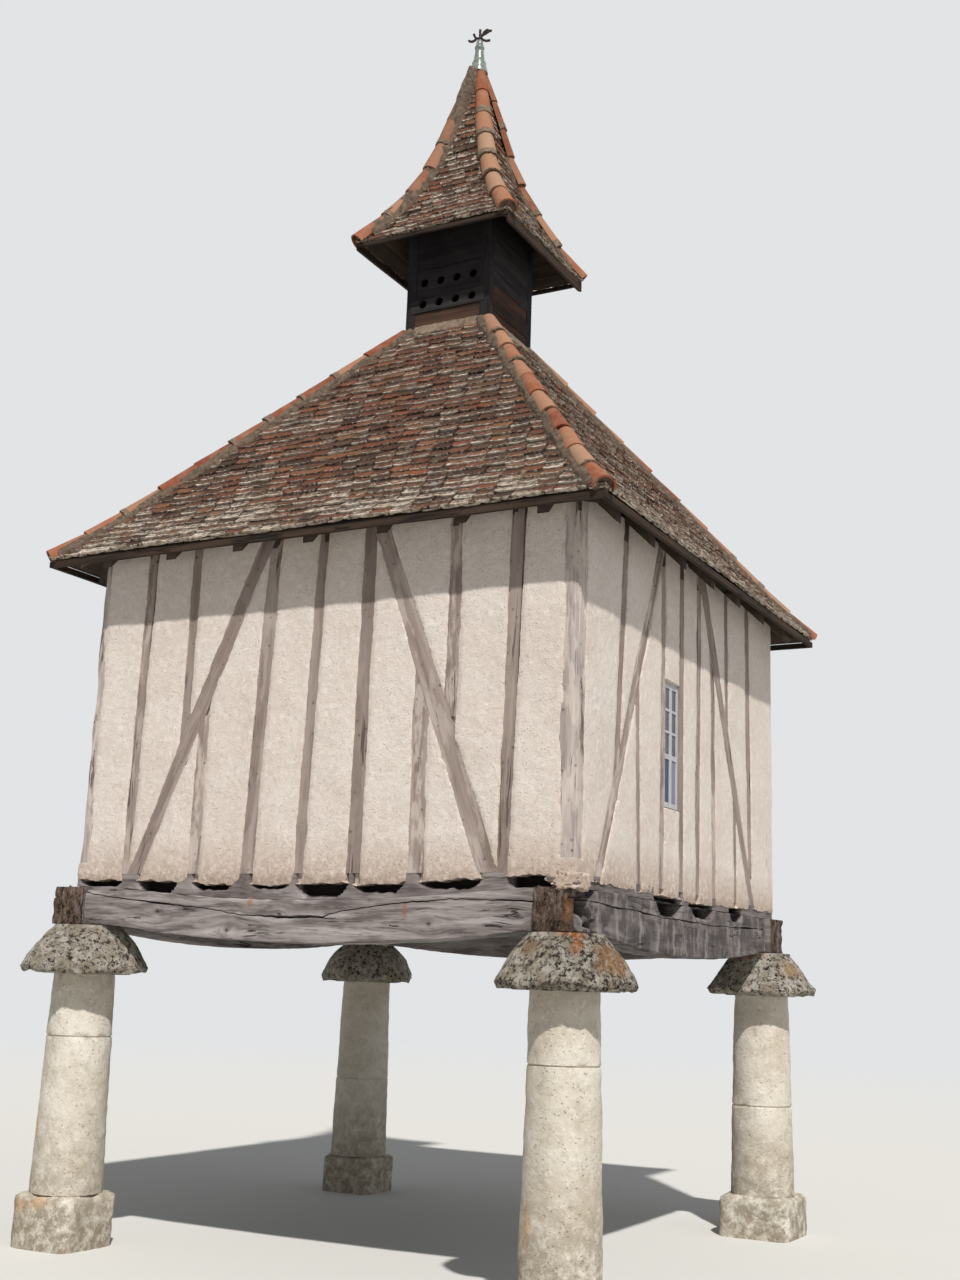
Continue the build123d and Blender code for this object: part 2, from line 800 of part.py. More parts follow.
lantern_slopes = []
lantern_bodies = []
for side in sides:
    with BuildPart() as lantern_slope:
        with BuildSketch(section_plane(side)):
            with BuildLine():
                TangentArc(sweep_foot, sweep_head, tangent=sweep_tangent)
                Polyline(sweep_head, apex, inner_apex, inner_head)
                TangentArc(inner_foot, inner_head, tangent=sweep_tangent)
                Polyline(inner_foot, eave_edge, sweep_foot)
            make_face()
        extrude(amount=lantern_eave_half, both=True)
        split(bisect_by=hip_cut(side, 1), keep=Keep.TOP)
        split(bisect_by=hip_cut(side, -1), keep=Keep.TOP)
    lantern_slopes.append(lantern_slope.part)

    with BuildPart() as lantern_body:
        with BuildSketch(section_plane(side)):
            with BuildLine():
                TangentArc(sweep_foot, sweep_head, tangent=sweep_tangent)
                Polyline(sweep_head, apex, (0, apex[1]), (0, lantern_base),
                         (sweep_foot[0], lantern_base), sweep_foot)
            make_face()
        extrude(amount=lantern_eave_half, both=True)
        split(bisect_by=hip_cut(side, 1), keep=Keep.TOP)
        split(bisect_by=hip_cut(side, -1), keep=Keep.TOP)
    lantern_bodies.append(lantern_body.part)

with BuildPart() as lantern_roof:
    add(lantern_slopes)
finish(lantern_roof, "lantern_roof")

with BuildPart() as under_lantern_roof:
    add(lantern_bodies)

# Hip tiles: each hip carries a run of tapered round tiles, every foot lapping the head below


def hip_line(turn, heights):
    """Points along a hip at evenly spaced runs, given the roof's height at each run."""
    return [Vector(turn.x * run, turn.y * run, height) for run, height in heights]


def hip_tiles(points, foot_radius, head_radius, sink, trim):
    """Run of tapered tiles from point to point up a hip, their axes sunk below it and trimmed to the roof."""
    with BuildPart() as tiles:
        for foot, head in zip(points, points[1:]):
            direction = (head - foot).normalized()
            across = direction.cross(Vector(0, 0, 1)).normalized()
            crown = across.cross(direction)
            lapped = head + direction * hip_tile_lap
            length = (lapped - foot).length
            with Locations(Plane(origin=foot - crown * sink, z_dir=direction)):
                Cone(foot_radius, head_radius, length, align=(Align.CENTER, Align.CENTER, Align.MIN))
        add(trim, mode=Mode.SUBTRACT)
    return tiles.part


main_hip_top = kerb_half + hip_tile_lap
main_step = (eave_half - main_hip_top) / main_hip_tile_count
main_runs = [eave_half - main_step * index for index in range(main_hip_tile_count + 1)]
main_heights = [(run, roof_height(run)) for run in main_runs]

with BuildPart() as main_hip_tiles:
    for pillar in pillars.values():
        points = hip_line(pillar, main_heights)
        trim = [under_roof, lantern_kerb.part]
        add(hip_tiles(points, hip_tile_foot_radius, hip_tile_head_radius, hip_tile_sink, trim))
finish(main_hip_tiles, "main_hip_tiles")

lantern_heights = []
for index in range(lantern_hip_tile_count + 1):
    climb = lantern_roof_rise * index / lantern_hip_tile_count
    lantern_heights.append((lantern_roof_run(climb), lantern_eave_height + climb))

with BuildPart() as lantern_hip_tiles:
    for pillar in pillars.values():
        points = hip_line(pillar, lantern_heights)
        radii = (lantern_hip_tile_foot_radius, lantern_hip_tile_head_radius)
        add(hip_tiles(points, *radii, lantern_hip_tile_sink, under_lantern_roof.part))
    split(bisect_by=Plane.XY.offset(apex[1]), keep=Keep.BOTTOM)
finish(lantern_hip_tiles, "lantern_hip_tiles")

# Finial: a turned ceramic spire in three stages, with a wrought ornament on its rod

finial_foot = apex[1]
lower_collar = finial_foot + finial_height / 3
upper_collar = finial_foot + 2 * finial_height / 3
rod_foot = finial_foot + finial_height
with BuildPart() as finial:
    with BuildSketch(Plane.XZ):
        with BuildLine():
            Polyline(
                (0, finial_foot),
                (finial_foot_radius, finial_foot),
                (finial_shoulder_radius, finial_foot + finial_foot_height),
                (finial_lower_neck_radius, lower_collar - finial_collar_height),
                (finial_lower_collar_radius, lower_collar),
                (finial_lower_collar_radius, lower_collar + finial_collar_height),
                (finial_upper_neck_radius, upper_collar - finial_collar_height),
                (finial_upper_collar_radius, upper_collar),
                (finial_upper_collar_radius, upper_collar + finial_collar_height),
                (finial_tip_radius, rod_foot),
                (0, rod_foot),
                close=True,
            )
        make_face()
    revolve(axis=Axis.Z)
finish(finial, "finial")

# The ornament's bars are given in shares of its reach, from the foot of the rod
ornament_bars = (
    ((0, 0.2), (-0.3, 0.3), (-0.54, 0.75)),
    ((-0.3, 0.3), (-0.66, 0.12), (-1, 0.32)),
    ((0, 0.2), (0.52, 0.6), (1, 0.58)),
    ((0.1, 0.3), (0.42, -0.1), (0.9, -0.2)),
)
ornament_leaf = ((0.1, 0.3), (0.3, 0.72), (0.62, 0.86), (1, 0.6), (0.55, 0.42))

with BuildPart() as finial_ornament:
    with BuildSketch(Plane.XY.offset(rod_foot)):
        Circle(finial_rod_radius)
    extrude(amount=finial_rod_length)
    with BuildSketch(Plane.XZ.offset(-ornament_thickness / 2)):
        with BuildLine():
            for bar in ornament_bars:
                ThreePointArc(*[(x * ornament_reach, rod_foot + z * ornament_reach) for x, z in bar])
        trace(line_width=ornament_bar_width)
        Polygon(*[(x * ornament_reach, rod_foot + z * ornament_reach) for x, z in ornament_leaf], align=None)
    extrude(amount=ornament_thickness)
finish(finial_ornament, "finial_ornament")
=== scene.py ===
# %% [markdown]
# # A half-timbered dovecote on four stone pillars
# Four stone pillars with mushroom caps carry a square timber frame filled with lime plaster.
# A steep tiled roof rises to a boarded lantern with pigeon holes, under a second, swept roof.
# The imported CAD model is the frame: every piece made here sits where the CAD says, in metres.

import random
from collections import namedtuple
from math import cos, pi, radians, sin, sqrt, tan

import bmesh
import bpy
import numpy as np
from mathutils import Matrix, Vector, noise


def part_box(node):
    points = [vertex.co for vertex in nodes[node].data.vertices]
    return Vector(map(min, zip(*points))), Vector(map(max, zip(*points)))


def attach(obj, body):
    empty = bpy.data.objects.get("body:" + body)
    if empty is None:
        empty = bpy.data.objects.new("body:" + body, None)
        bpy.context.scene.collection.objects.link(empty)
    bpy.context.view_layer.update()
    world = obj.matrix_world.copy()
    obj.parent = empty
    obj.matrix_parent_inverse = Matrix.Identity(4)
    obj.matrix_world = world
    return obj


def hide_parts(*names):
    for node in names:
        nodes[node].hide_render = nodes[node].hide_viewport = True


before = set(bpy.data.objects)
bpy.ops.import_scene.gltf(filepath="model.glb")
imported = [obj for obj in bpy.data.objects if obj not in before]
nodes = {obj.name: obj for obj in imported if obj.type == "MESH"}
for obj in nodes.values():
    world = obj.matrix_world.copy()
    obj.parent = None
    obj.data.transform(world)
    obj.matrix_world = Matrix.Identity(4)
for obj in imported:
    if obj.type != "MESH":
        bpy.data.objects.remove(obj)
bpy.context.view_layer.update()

# %% [markdown]
# ## Camera
# The photograph was taken standing near the front right corner, looking a little up. Its place and
# turn came from fitting the frame's straight lines, so the camera is set by numbers. Blender's
# camera looks down its own -Z axis, which is why a quarter turn about X comes last.

# %% Camera
camera_place = Vector((5.6301, -10.0451, 1.8077))
camera_turn, camera_tilt, camera_roll = 0.4957, 0.2214, -0.034
camera_data = bpy.data.cameras.new("camera")
camera_data.lens = 42.69
camera_data.sensor_width = 36.0
camera = bpy.data.objects.new("camera", camera_data)
bpy.context.scene.collection.objects.link(camera)
heading = Matrix.Rotation(camera_turn, 4, "Z") @ Matrix.Rotation(camera_tilt, 4, "X")
heading = heading @ Matrix.Rotation(camera_roll, 4, "Y") @ Matrix.Rotation(pi / 2, 4, "X")
camera.matrix_world = Matrix.Translation(camera_place) @ heading
bpy.context.scene.camera = camera
print("camera at", tuple(camera_place))

# %% [markdown]
# ## Light
# One narrow lamp stands where the sun stood, high on the right in front, so the eaves throw their
# band of shadow on the walls. A weak and very wide lamp from the right lifts that side, and a pale
# world fills the shadows. Camera rays see a plain backdrop colour instead of that world.

# %% Lamps and world


def sun_lamp(name, direction, energy, angle, tint):
    """A lamp with parallel light that comes from a direction; a wide angle makes it soft."""
    data = bpy.data.lights.new(name, "SUN")
    data.energy = energy
    data.angle = radians(angle)
    data.color = tint
    lamp = bpy.data.objects.new(name, data)
    bpy.context.scene.collection.objects.link(lamp)
    lamp.rotation_euler = Vector(direction).normalized().to_track_quat("Z", "Y").to_euler()
    print(name, "from", direction)


sun_lamp("key_lamp", (0.52, -0.667, 1.0), 4.2, 1.4, (1.0, 0.97, 0.93))
sun_lamp("side_lamp", (1.0, -0.25, 0.35), 0.4, 60.0, (0.94, 0.97, 1.0))
bpy.context.scene.view_settings.view_transform = "Standard"

# %% [markdown]
# ## Building node trees
# A material is a tree of nodes, and adding a node by hand takes three lines. `Tree` adds a node,
# sets it up and links it in one call. `Finish` is the tree of one material: its base colour is built
# up in layers, each a mask and a colour, as a painter would. Colours are typed as bytes, as a colour
# picker shows them, and turned into the linear values that shaders use.

# %% Trees and finishes


def colour(red, green, blue):
    """A colour picker's bytes as a linear colour with full alpha."""
    parts = [part / 255 for part in (red, green, blue)]
    linear = [part / 12.92 if part <= 0.04045 else ((part + 0.055) / 1.055) ** 2.4 for part in parts]
    return (*linear, 1.0)


class Tree:
    """A node tree with a short method for each kind of node that the finishes need."""

    def __init__(self, tree):
        self.tree = tree
        self.place = None

    def feed(self, socket, value):
        """Links a socket or sets its value."""
        if isinstance(value, bpy.types.NodeSocket):
            self.tree.links.new(value, socket)
        else:
            socket.default_value = value

    def put(self, kind, inputs=None, **settings):
        """Adds a shader node, with its settings first and its inputs after."""
        made = self.tree.nodes.new("ShaderNode" + kind)
        for name, value in settings.items():
            setattr(made, name, value)
        for key, value in (inputs or {}).items():
            self.feed(made.inputs[key], value)
        return made

    def calc(self, operation, first, second=0.0):
        return self.put("Math", {0: first, 1: second}, operation=operation).outputs[0]

    def times(self, first, second):
        return self.calc("MULTIPLY", first, second)

    def plus(self, first, second):
        return self.calc("ADD", first, second)

    def minus(self, first, second):
        return self.calc("SUBTRACT", first, second)

    def vector(self, operation, first, second=(0.0, 0.0, 0.0), result="Vector"):
        return self.put("VectorMath", {0: first, 1: second}, operation=operation).outputs[result]

    def scaled(self, vector, *scale):
        return self.put("Mapping", {"Vector": vector, "Scale": scale}).outputs[0]

    def axis(self, letter):
        """One coordinate of the place on the object."""
        return self.put("SeparateXYZ", {0: self.place}).outputs[letter]

    def attribute(self, name, output="Fac"):
        """A value or vector stored on the mesh."""
        return self.put("Attribute", attribute_name=name, attribute_type="GEOMETRY").outputs[output]

    def spread(self, value, low, high, start=0.0, end=1.0):
        """Stretches low..high to start..end and clamps it."""
        inputs = {"Value": value, "From Min": low, "From Max": high, "To Min": start, "To Max": end}
        return self.put("MapRange", inputs).outputs[0]

    def blend(self, mask, first, second):
        """Mixes two colours by a mask; three numbers are a colour in bytes."""
        first, second = [
            colour(*shade) if isinstance(shade, tuple) and len(shade) == 3 else shade
            for shade in (first, second)
        ]
        return self.put("Mix", {0: mask, 6: first, 7: second}, data_type="RGBA").outputs[2]

    def cloud(self, scale, detail=3.0, roughness=0.55, vector=None):
        """Noise texture value; scale counts features per metre."""
        inputs = {
            "Vector": self.place if vector is None else vector,
            "Scale": scale,
            "Detail": detail,
            "Roughness": roughness,
        }
        return self.put("TexNoise", inputs).outputs["Fac"]

    def grit(self, scale, detail, roughness, low, high):
        """A noise texture stretched between two limits, for a crisp or a soft mask."""
        return self.spread(self.cloud(scale, detail, roughness), low, high)

    def use(self, group, **inputs):
        """Places a node group and returns its outputs."""
        made = self.tree.nodes.new("ShaderNodeGroup")
        made.node_tree = group.tree
        for label, value in inputs.items():
            self.feed(made.inputs[label], value)
        return made.outputs


class Finish(Tree):
    """The tree of one material; its base colour is built up in layers."""

    def __init__(self, name, roughness=0.9, gloss=None, **inputs):
        self.material = bpy.data.materials.new(name)
        self.material.use_nodes = True
        super().__init__(self.material.node_tree)
        self.shader = self.tree.nodes["Principled BSDF"]
        self.place = self.put("TexCoord").outputs["Object"]
        self.base = None
        if gloss is None:
            gloss = 0.2 if roughness > 0.5 else 0.5
        inputs = {"Roughness": roughness, "Specular IOR Level": gloss, **inputs}
        for label, value in inputs.items():
            self.shader.inputs[label.replace("_", " ")].default_value = value

    def start(self, mask, first, second):
        """The lowest layer: two colours and the mask between them."""
        self.base = self.blend(mask, first, second)

    def layer(self, mask, shade, share=1.0):
        """Lays a colour over the base where the mask is."""
        self.base = self.blend(mask if share == 1.0 else self.times(mask, share), self.base, shade)

    def patch(self, size, low, high, detail=4.0, vector=None):
        """Mask of soft patches of about this size."""
        vector = self.place if vector is None else vector
        return self.use(patches, Vector=vector, Size=size, Low=low, High=high, Detail=detail)["Mask"]

    def pitted(self, size, depth):
        """Mask of small round pits."""
        return self.use(pits, Vector=self.place, Size=size, Depth=depth)["Hollow"]

    def crust(self, size, cover):
        """Mask and tone of round crusts of lichen."""
        made = self.use(lichen, Vector=self.place, Size=size, Cover=cover)
        return made["Mask"], made["Tone"]

    def stain(self, centre, reach, stretch=(1.0, 1.0, 1.0)):
        """Mask of one ragged blot round a point; stretch makes it longer along an axis."""
        away = self.vector("DIVIDE", self.vector("SUBTRACT", self.place, centre), stretch)
        rim = self.spread(self.cloud(1.6 / reach, 6.0, 0.75), 0.2, 0.8, -0.75 * reach, 0.75 * reach)
        away = self.vector("LENGTH", away, result="Value")
        return self.spread(self.plus(away, rim), reach, 0.45 * reach)

    def ramp(self, value, *shades):
        """The lowest layer as a colour ramp through evenly spaced colours."""
        node = self.put("ValToRGB", {0: value})
        ramp = node.color_ramp
        while len(ramp.elements) < len(shades):
            ramp.elements.new(0.5)
        for index, shade in enumerate(shades):
            ramp.elements[index].position = index / (len(shades) - 1)
            ramp.elements[index].color = colour(*shade)
        self.base = node.outputs[0]

    def done(self, height=None, distance=0.0, roughness=None):
        """Links the base colour, a height as bump and a roughness, and returns the material."""
        self.feed(self.shader.inputs["Base Color"], self.base)
        if roughness is not None:
            self.feed(self.shader.inputs["Roughness"], roughness)
        if height is not None:
            bump = self.put("Bump", {"Height": height, "Distance": distance, "Strength": 1.0})
            self.feed(self.shader.inputs["Normal"], bump.outputs[0])
        return self.material


print("trees and finishes ready")

# %% [markdown]
# ## Backdrop and floor
# The floor is a plain pale disc that keeps the object's shadow. Far from the object it fades into
# the backdrop's own colour, so no horizon line cuts the picture.

# %% World and floor
backdrop_colour = colour(226, 228, 230)
fade_start, fade_end = 9.0, 34.0
world = bpy.data.worlds.new("studio")
world.use_nodes = True
world.node_tree.nodes.clear()
sky = Tree(world.node_tree)
rays = sky.put("LightPath").outputs
seen = sky.calc("MAXIMUM", rays["Is Camera Ray"], rays["Is Transmission Ray"])
seen = sky.calc("MAXIMUM", seen, rays["Is Glossy Ray"])
fill = sky.put("Background", {"Color": (0.92, 0.96, 1.0, 1.0), "Strength": 0.27})
backdrop = sky.put("Background", {"Color": backdrop_colour, "Strength": 1.0})
chosen = sky.put("MixShader", {0: seen, 1: fill.outputs[0], 2: backdrop.outputs[0]})
sky.put("OutputWorld", {0: chosen.outputs[0]})
bpy.context.scene.world = world

ground = Finish("studio_floor", 0.95)
ground.shader.inputs["Base Color"].default_value = colour(205, 204, 200)
distance = ground.vector("LENGTH", ground.place, result="Value")
camera_ray = ground.put("LightPath").outputs["Is Camera Ray"]
far = ground.times(ground.spread(distance, fade_start, fade_end), camera_ray)
glow = ground.put("Emission", {"Color": backdrop_colour, "Strength": 1.0})
faded = ground.put("MixShader", {0: far, 1: ground.shader.outputs[0], 2: glow.outputs[0]})
ground.feed(ground.tree.nodes["Material Output"].inputs[0], faded.outputs[0])

floor_shape = bmesh.new()
bmesh.ops.create_circle(floor_shape, cap_ends=True, segments=64, radius=60.0)
floor_mesh = bpy.data.meshes.new("studio_floor")
floor_shape.to_mesh(floor_mesh)
floor_shape.free()
floor_mesh.materials.append(ground.material)
floor = bpy.data.objects.new("studio_floor", floor_mesh)
bpy.context.scene.collection.objects.link(floor)
print("floor and backdrop ready")

# %% [markdown]
# ## Shared surface effects
# Old stone, plaster, wood and tiles share a few effects: soft patches, crusts of lichen, pits, and
# the long lines of wood grain. Each is one node group, used in several materials with other
# values. A group gives out only masks and tones; the colours and the shader stay in the material.

# %% Group: soft patches


def new_group(name, inputs, outputs):
    """An empty node group: its tree, the values it is given and the sockets it gives out."""
    group = bpy.data.node_groups.new(name, "ShaderNodeTree")
    for label, start in inputs.items():
        kind = "NodeSocketVector" if start is None else "NodeSocketFloat"
        socket = group.interface.new_socket(label, in_out="INPUT", socket_type=kind)
        if start is not None:
            socket.default_value = start
    for label in outputs:
        group.interface.new_socket(label, in_out="OUTPUT", socket_type="NodeSocketFloat")
    given = group.nodes.new("NodeGroupInput").outputs
    return Tree(group), given, group.nodes.new("NodeGroupOutput").inputs


patches, given, result = new_group(
    "soft patches", {"Vector": None, "Size": 0.3, "Low": 0.45, "High": 0.6, "Detail": 4.0}, ["Mask"]
)
per_metre = patches.calc("DIVIDE", 1.0, given["Size"])
field = patches.cloud(per_metre, given["Detail"], 0.6, given["Vector"])
patches.feed(result["Mask"], patches.spread(field, given["Low"], given["High"]))

# %% Group: crust of lichen in round spots with ragged rims
lichen, given, result = new_group(
    "lichen crust", {"Vector": None, "Size": 0.04, "Cover": 0.5}, ["Mask", "Tone"]
)
per_metre = lichen.calc("DIVIDE", 1.0, given["Size"])
wobble = lichen.cloud(lichen.times(per_metre, 1.1), 5.0, 0.72, given["Vector"])
spots = lichen.put("TexVoronoi", {"Vector": given["Vector"], "Scale": per_metre})
ragged = lichen.plus(lichen.times(spots.outputs["Distance"], 0.45), lichen.times(wobble, 1.5))
cell = lichen.put("SeparateColor", {0: spots.outputs["Color"]}).outputs
reach = lichen.plus(lichen.plus(given["Cover"], 0.42), lichen.times(cell[0], 0.12))
lichen.feed(result["Mask"], lichen.spread(lichen.minus(reach, ragged), 0.0, 0.07))
lichen.feed(result["Tone"], cell[1])

# %% Group: pits in stone and mortar
pits, given, result = new_group("pits", {"Vector": None, "Size": 0.012, "Depth": 0.3}, ["Hollow"])
per_metre = pits.calc("DIVIDE", 1.0, given["Size"])
spots = pits.put("TexVoronoi", {"Vector": given["Vector"], "Scale": per_metre})
crowd = pits.cloud(pits.times(per_metre, 0.3), 2.0, vector=given["Vector"])
limit = pits.times(pits.spread(crowd, 0.35, 0.75), given["Depth"])
rise = pits.spread(pits.minus(spots.outputs["Distance"], limit), 0.0, 0.14)
pits.feed(result["Hollow"], pits.minus(1.0, rise))

# %% Group: wood grain along the first coordinate
grain, given, result = new_group(
    "wood grain", {"Vector": None, "Width": 0.008, "Cracking": 0.5}, ["Lines", "Cracks", "Tone"]
)
per_metre = grain.calc("DIVIDE", 1.0, given["Width"])
stroll = grain.cloud(1.0, 2.0, vector=grain.scaled(given["Vector"], 1.3, 2.6, 2.6))
aside = grain.put("CombineXYZ", {"Y": grain.spread(stroll, 0.2, 0.8, -0.035, 0.035)}).outputs[0]
way = grain.vector("ADD", given["Vector"], aside)
lengthwise = grain.scaled(way, 0.035, 1.0, 1.0)
grain.feed(result["Lines"], grain.cloud(per_metre, 6.0, 0.72, lengthwise))
contour = grain.cloud(grain.times(per_metre, 0.3), 3.0, 0.6, lengthwise)
gap = grain.calc("ABSOLUTE", grain.minus(contour, 0.5))
opening = grain.cloud(grain.times(per_metre, 0.11), 2.0, vector=grain.scaled(way, 0.16, 1.0, 1.0))
brink = grain.spread(given["Cracking"], 0.0, 1.0, 0.68, 0.4)
reach = grain.spread(grain.minus(opening, brink), 0.0, 0.22, -0.015, 0.06)
grain.feed(result["Cracks"], grain.spread(grain.minus(gap, reach), 0.0, -0.014))
broad = grain.cloud(grain.times(per_metre, 0.16), 3.0, vector=grain.scaled(way, 0.06, 1.0, 1.0))
grain.feed(result["Tone"], broad)
print("effects:", [group.name for group in bpy.data.node_groups])

# %% [markdown]
# ## Weathered wood
# Oak that has stood in the weather turns silver grey, with brown left in the grooves and long
# dark shakes along the grain. The grain must follow each timber, also the leaning ones, so each
# timber stores its own coordinates on its mesh: length first, then width and depth. A second
# value, the tint, says how dark the timber is, and from 1 to 2 it runs into the crack's colour.
# That paints dark cracks and knots, and it also paints shade into rotted hollows, a rotten notch
# and the sills' recesses.

# %% Wood finishes


def wood(name, shades, width, cracking, crack_and_painted_shade, on_mesh=True, run=1.0, depth=0.004, lime=0.0,
         rust=(), end_shade=None, gloss=0.2):
    """Weathered wood; its grain follows the mesh's own coordinates, or the frame's."""
    dark, middle, light = shades
    t = Finish(name, 0.9, gloss)
    if on_mesh:
        along, tint = t.attribute("grain", "Vector"), t.attribute("tint")
    else:
        along, tint = t.scaled(t.place, run, run, run), t.cloud(0.9, 1.0)
    fibres = t.use(grain, Vector=along, Width=width, Cracking=cracking)
    lines, cracks = fibres["Lines"], fibres["Cracks"]
    t.start(t.spread(lines, 0.34, 0.66), dark, middle)
    t.layer(t.spread(fibres["Tone"], 0.4, 0.66), light)
    t.layer(t.spread(tint, 0.0, 1.0, 0.0, 0.7), dark)
    t.layer(t.patch(0.3, 0.42, 0.68), light, 0.3)
    height = t.minus(t.times(lines, 0.5), cracks)
    if lime:
        washed = t.patch(0.08, 0.5, 0.57, 10.0, t.scaled(along, 0.3, 1.0, 1.0))
        t.layer(t.times(washed, t.spread(tint, 0.35, 0.0, 0.15, 1.0)), (202, 189, 180), lime)
        t.layer(t.pitted(0.075, 0.05), (66, 56, 52), 0.85)
    if end_shade:
        t.layer(t.patch(0.035, 0.52, 0.6, 6.0, t.scaled(along, 0.12, 1.0, 1.0)), (70, 62, 60), 0.55)
        wet = t.spread(tint, 0.8, 1.0)
        t.layer(t.times(t.patch(0.14, 0.46, 0.56, 8.0), wet), (62, 57, 60), 0.6)
        streak = t.patch(0.07, 0.52, 0.64, 6.0, t.scaled(t.place, 1.0, 1.0, 0.3))
        t.layer(t.times(streak, wet), light, 0.45)
        end = t.attribute("edge")
        knobs = t.cloud(26.0, 9.0, 0.84, t.scaled(t.place, 1.0, 1.0, 0.45))
        rough_end = t.blend(t.spread(knobs, 0.44, 0.5), crack_and_painted_shade, end_shade)
        t.layer(end, t.blend(t.spread(knobs, 0.54, 0.58), rough_end, middle))
        height = t.plus(height, t.times(t.times(knobs, end), 3.0))
    for centre, reach, stretch, shade in rust:
        t.layer(t.stain(centre, reach, stretch), shade, 0.55)
    t.layer(cracks, crack_and_painted_shade, 0.85)
    # Tint over 1 runs into the crack's colour: dark knot centres and crack grooves, and painted shade in
    # rotted hollows, the rotten notch and the sills' recesses.
    t.layer(t.spread(tint, 1.0, 2.0), crack_and_painted_shade)
    return t.done(height, depth)


oak = wood("old_oak", ((126, 114, 108), (164, 153, 147), (190, 180, 174)), 0.008, 0.8, (84, 73, 66),
           lime=0.8)
beam_rust = (
    ((-0.398, -1.93, 2.275), 0.045, (0.6, 1.0, 1.5), (146, 94, 62)),
    ((0.777, -1.93, 2.215), 0.05, (0.5, 1.0, 1.5), (140, 84, 50)),
    ((1.9, -1.98, 2.25), 0.07, (0.7, 1.0, 1.4), (150, 96, 60)),
)
beam_oak = wood("beam_oak", ((78, 71, 69), (130, 121, 119), (168, 160, 158)), 0.008, 0.5, (30, 25, 23),
                depth=0.008, rust=beam_rust, end_shade=(104, 84, 70))
stud_moss = (((1.36, -1.9, 2.7), 0.1, (0.8, 1.0, 2.4), (112, 102, 88)),)
stud_oak = wood("stud_oak", ((112, 98, 91), (142, 127, 119), (164, 151, 143)), 0.01, 0.55, (80, 67, 60),
                depth=0.003, lime=0.6, rust=stud_moss)
# The lantern's grey boards are weathered dark grey, and their colours are set darker still to stand for the
# shade they sit in under the lantern roof: partly painted shade.
board_wood_and_shade = wood("lantern_wood", ((17, 15, 17), (32, 29, 31), (58, 53, 54)), 0.01, 0.5, (9, 8, 8))
brown_wood = wood("lantern_brown_wood", ((28, 19, 16), (52, 36, 29), (84, 61, 48)), 0.01, 0.5, (12, 9, 8))
softwood = wood("roof_wood", ((42, 33, 27), (62, 50, 41), (84, 70, 58)), 0.01, 0.3, (18, 14, 12),
                gloss=0.45)
eaves_wood = wood("eaves_wood", ((29, 22, 18), (44, 34, 27), (66, 52, 42)), 0.009, 0.6, (16, 12, 10))
rafter_wood = wood("rafter_wood", ((52, 42, 35), (74, 61, 51), (96, 81, 69)), 0.02, 0.3, (26, 21, 18),
                   on_mesh=False, run=0.6, gloss=0.4)
joist_wood = wood("joist_wood", ((52, 42, 35), (78, 65, 55), (104, 89, 76)), 0.012, 0.5, (28, 24, 21),
                  on_mesh=False)
print("wood finishes:", [m.name for m in bpy.data.materials if "wood" in m.name or "oak" in m.name])

# %% [markdown]
# ## Lime plaster
# The panels are rough-cast lime: a warm cream with soft pink and tan patches, small dark pits, and
# a tan foot where rain splashes. The large relief is modelled and the small one is a bump.

# %% Plaster finish
t = Finish("plaster", 0.95)
t.start(t.patch(0.55, 0.4, 0.65), (214, 204, 196), (206, 194, 184))
t.layer(t.patch(0.05, 0.52, 0.7, 6.0), (227, 220, 214), 0.6)
t.layer(t.patch(0.02, 0.54, 0.72, 6.0), (180, 163, 151), 0.5)
hollow = t.pitted(0.02, 0.2)
t.layer(hollow, (158, 138, 124), 0.4)
t.layer(t.times(t.attribute("edge"), t.grit(26.0, 5.0, 0.7, 0.44, 0.62)), (180, 160, 146), 0.5)
splash = t.times(t.spread(t.axis("Z"), 2.7, 2.42), t.grit(30.0, 6.0, 0.75, 0.3, 0.56))
t.layer(splash, (166, 144, 128), 0.9)
cast = t.plus(t.cloud(90.0, 6.0, 0.75), t.times(t.cloud(30.0), 0.7))
plaster = t.done(t.minus(cast, t.times(hollow, 0.5)), 0.006)

# %% [markdown]
# ## Stone
# The pillars are pale limestone, pitted and slightly stained. The caps are so crusted with
# lichen that little stone shows: grey, white and black spots, and bright orange near the top.

# %% Pillar stone
orange_stains = (
    ((-2.02, -2.08, 0.27), 0.07, (1.6, 1.6, 0.7)),
    ((-1.83, -2.08, 0.3), 0.06, (1.8, 1.6, 0.9)),
    ((-2.08, -1.8, 0.2), 0.08, (1.5, 1.6, 0.8)),
    ((1.64, 1.62, 0.55), 0.05, (1.0, 1.0, 3.0)),
    ((-1.95, -2.0, 0.75), 0.05, (1.0, 1.0, 2.6)),
    ((1.7, -2.04, 0.5), 0.05, (1.0, 1.0, 3.5)),
)
t = Finish("pillar_stone", 0.92)
t.start(t.patch(0.4, 0.4, 0.64), (210, 203, 191), (188, 178, 162))
t.layer(t.patch(0.07, 0.5, 0.7, 6.0), (170, 160, 144), 0.6)
t.layer(t.patch(0.03, 0.54, 0.7), (226, 221, 212), 0.5)
for centre, reach, stretch in orange_stains:
    t.layer(t.stain(centre, reach, stretch), (196, 146, 92), 0.55)
hollow = t.pitted(0.028, 0.16)
t.layer(hollow, (156, 143, 126), 0.42)
damp = t.times(t.spread(t.axis("Z"), 0.95, 0.15), t.grit(12.0, 8.0, 0.78, 0.4, 0.56))
t.layer(damp, (130, 119, 100), 0.85)
pillar_stone = t.done(t.minus(t.cloud(34.0, 7.0, 0.72), t.times(hollow, 0.5)), 0.01)

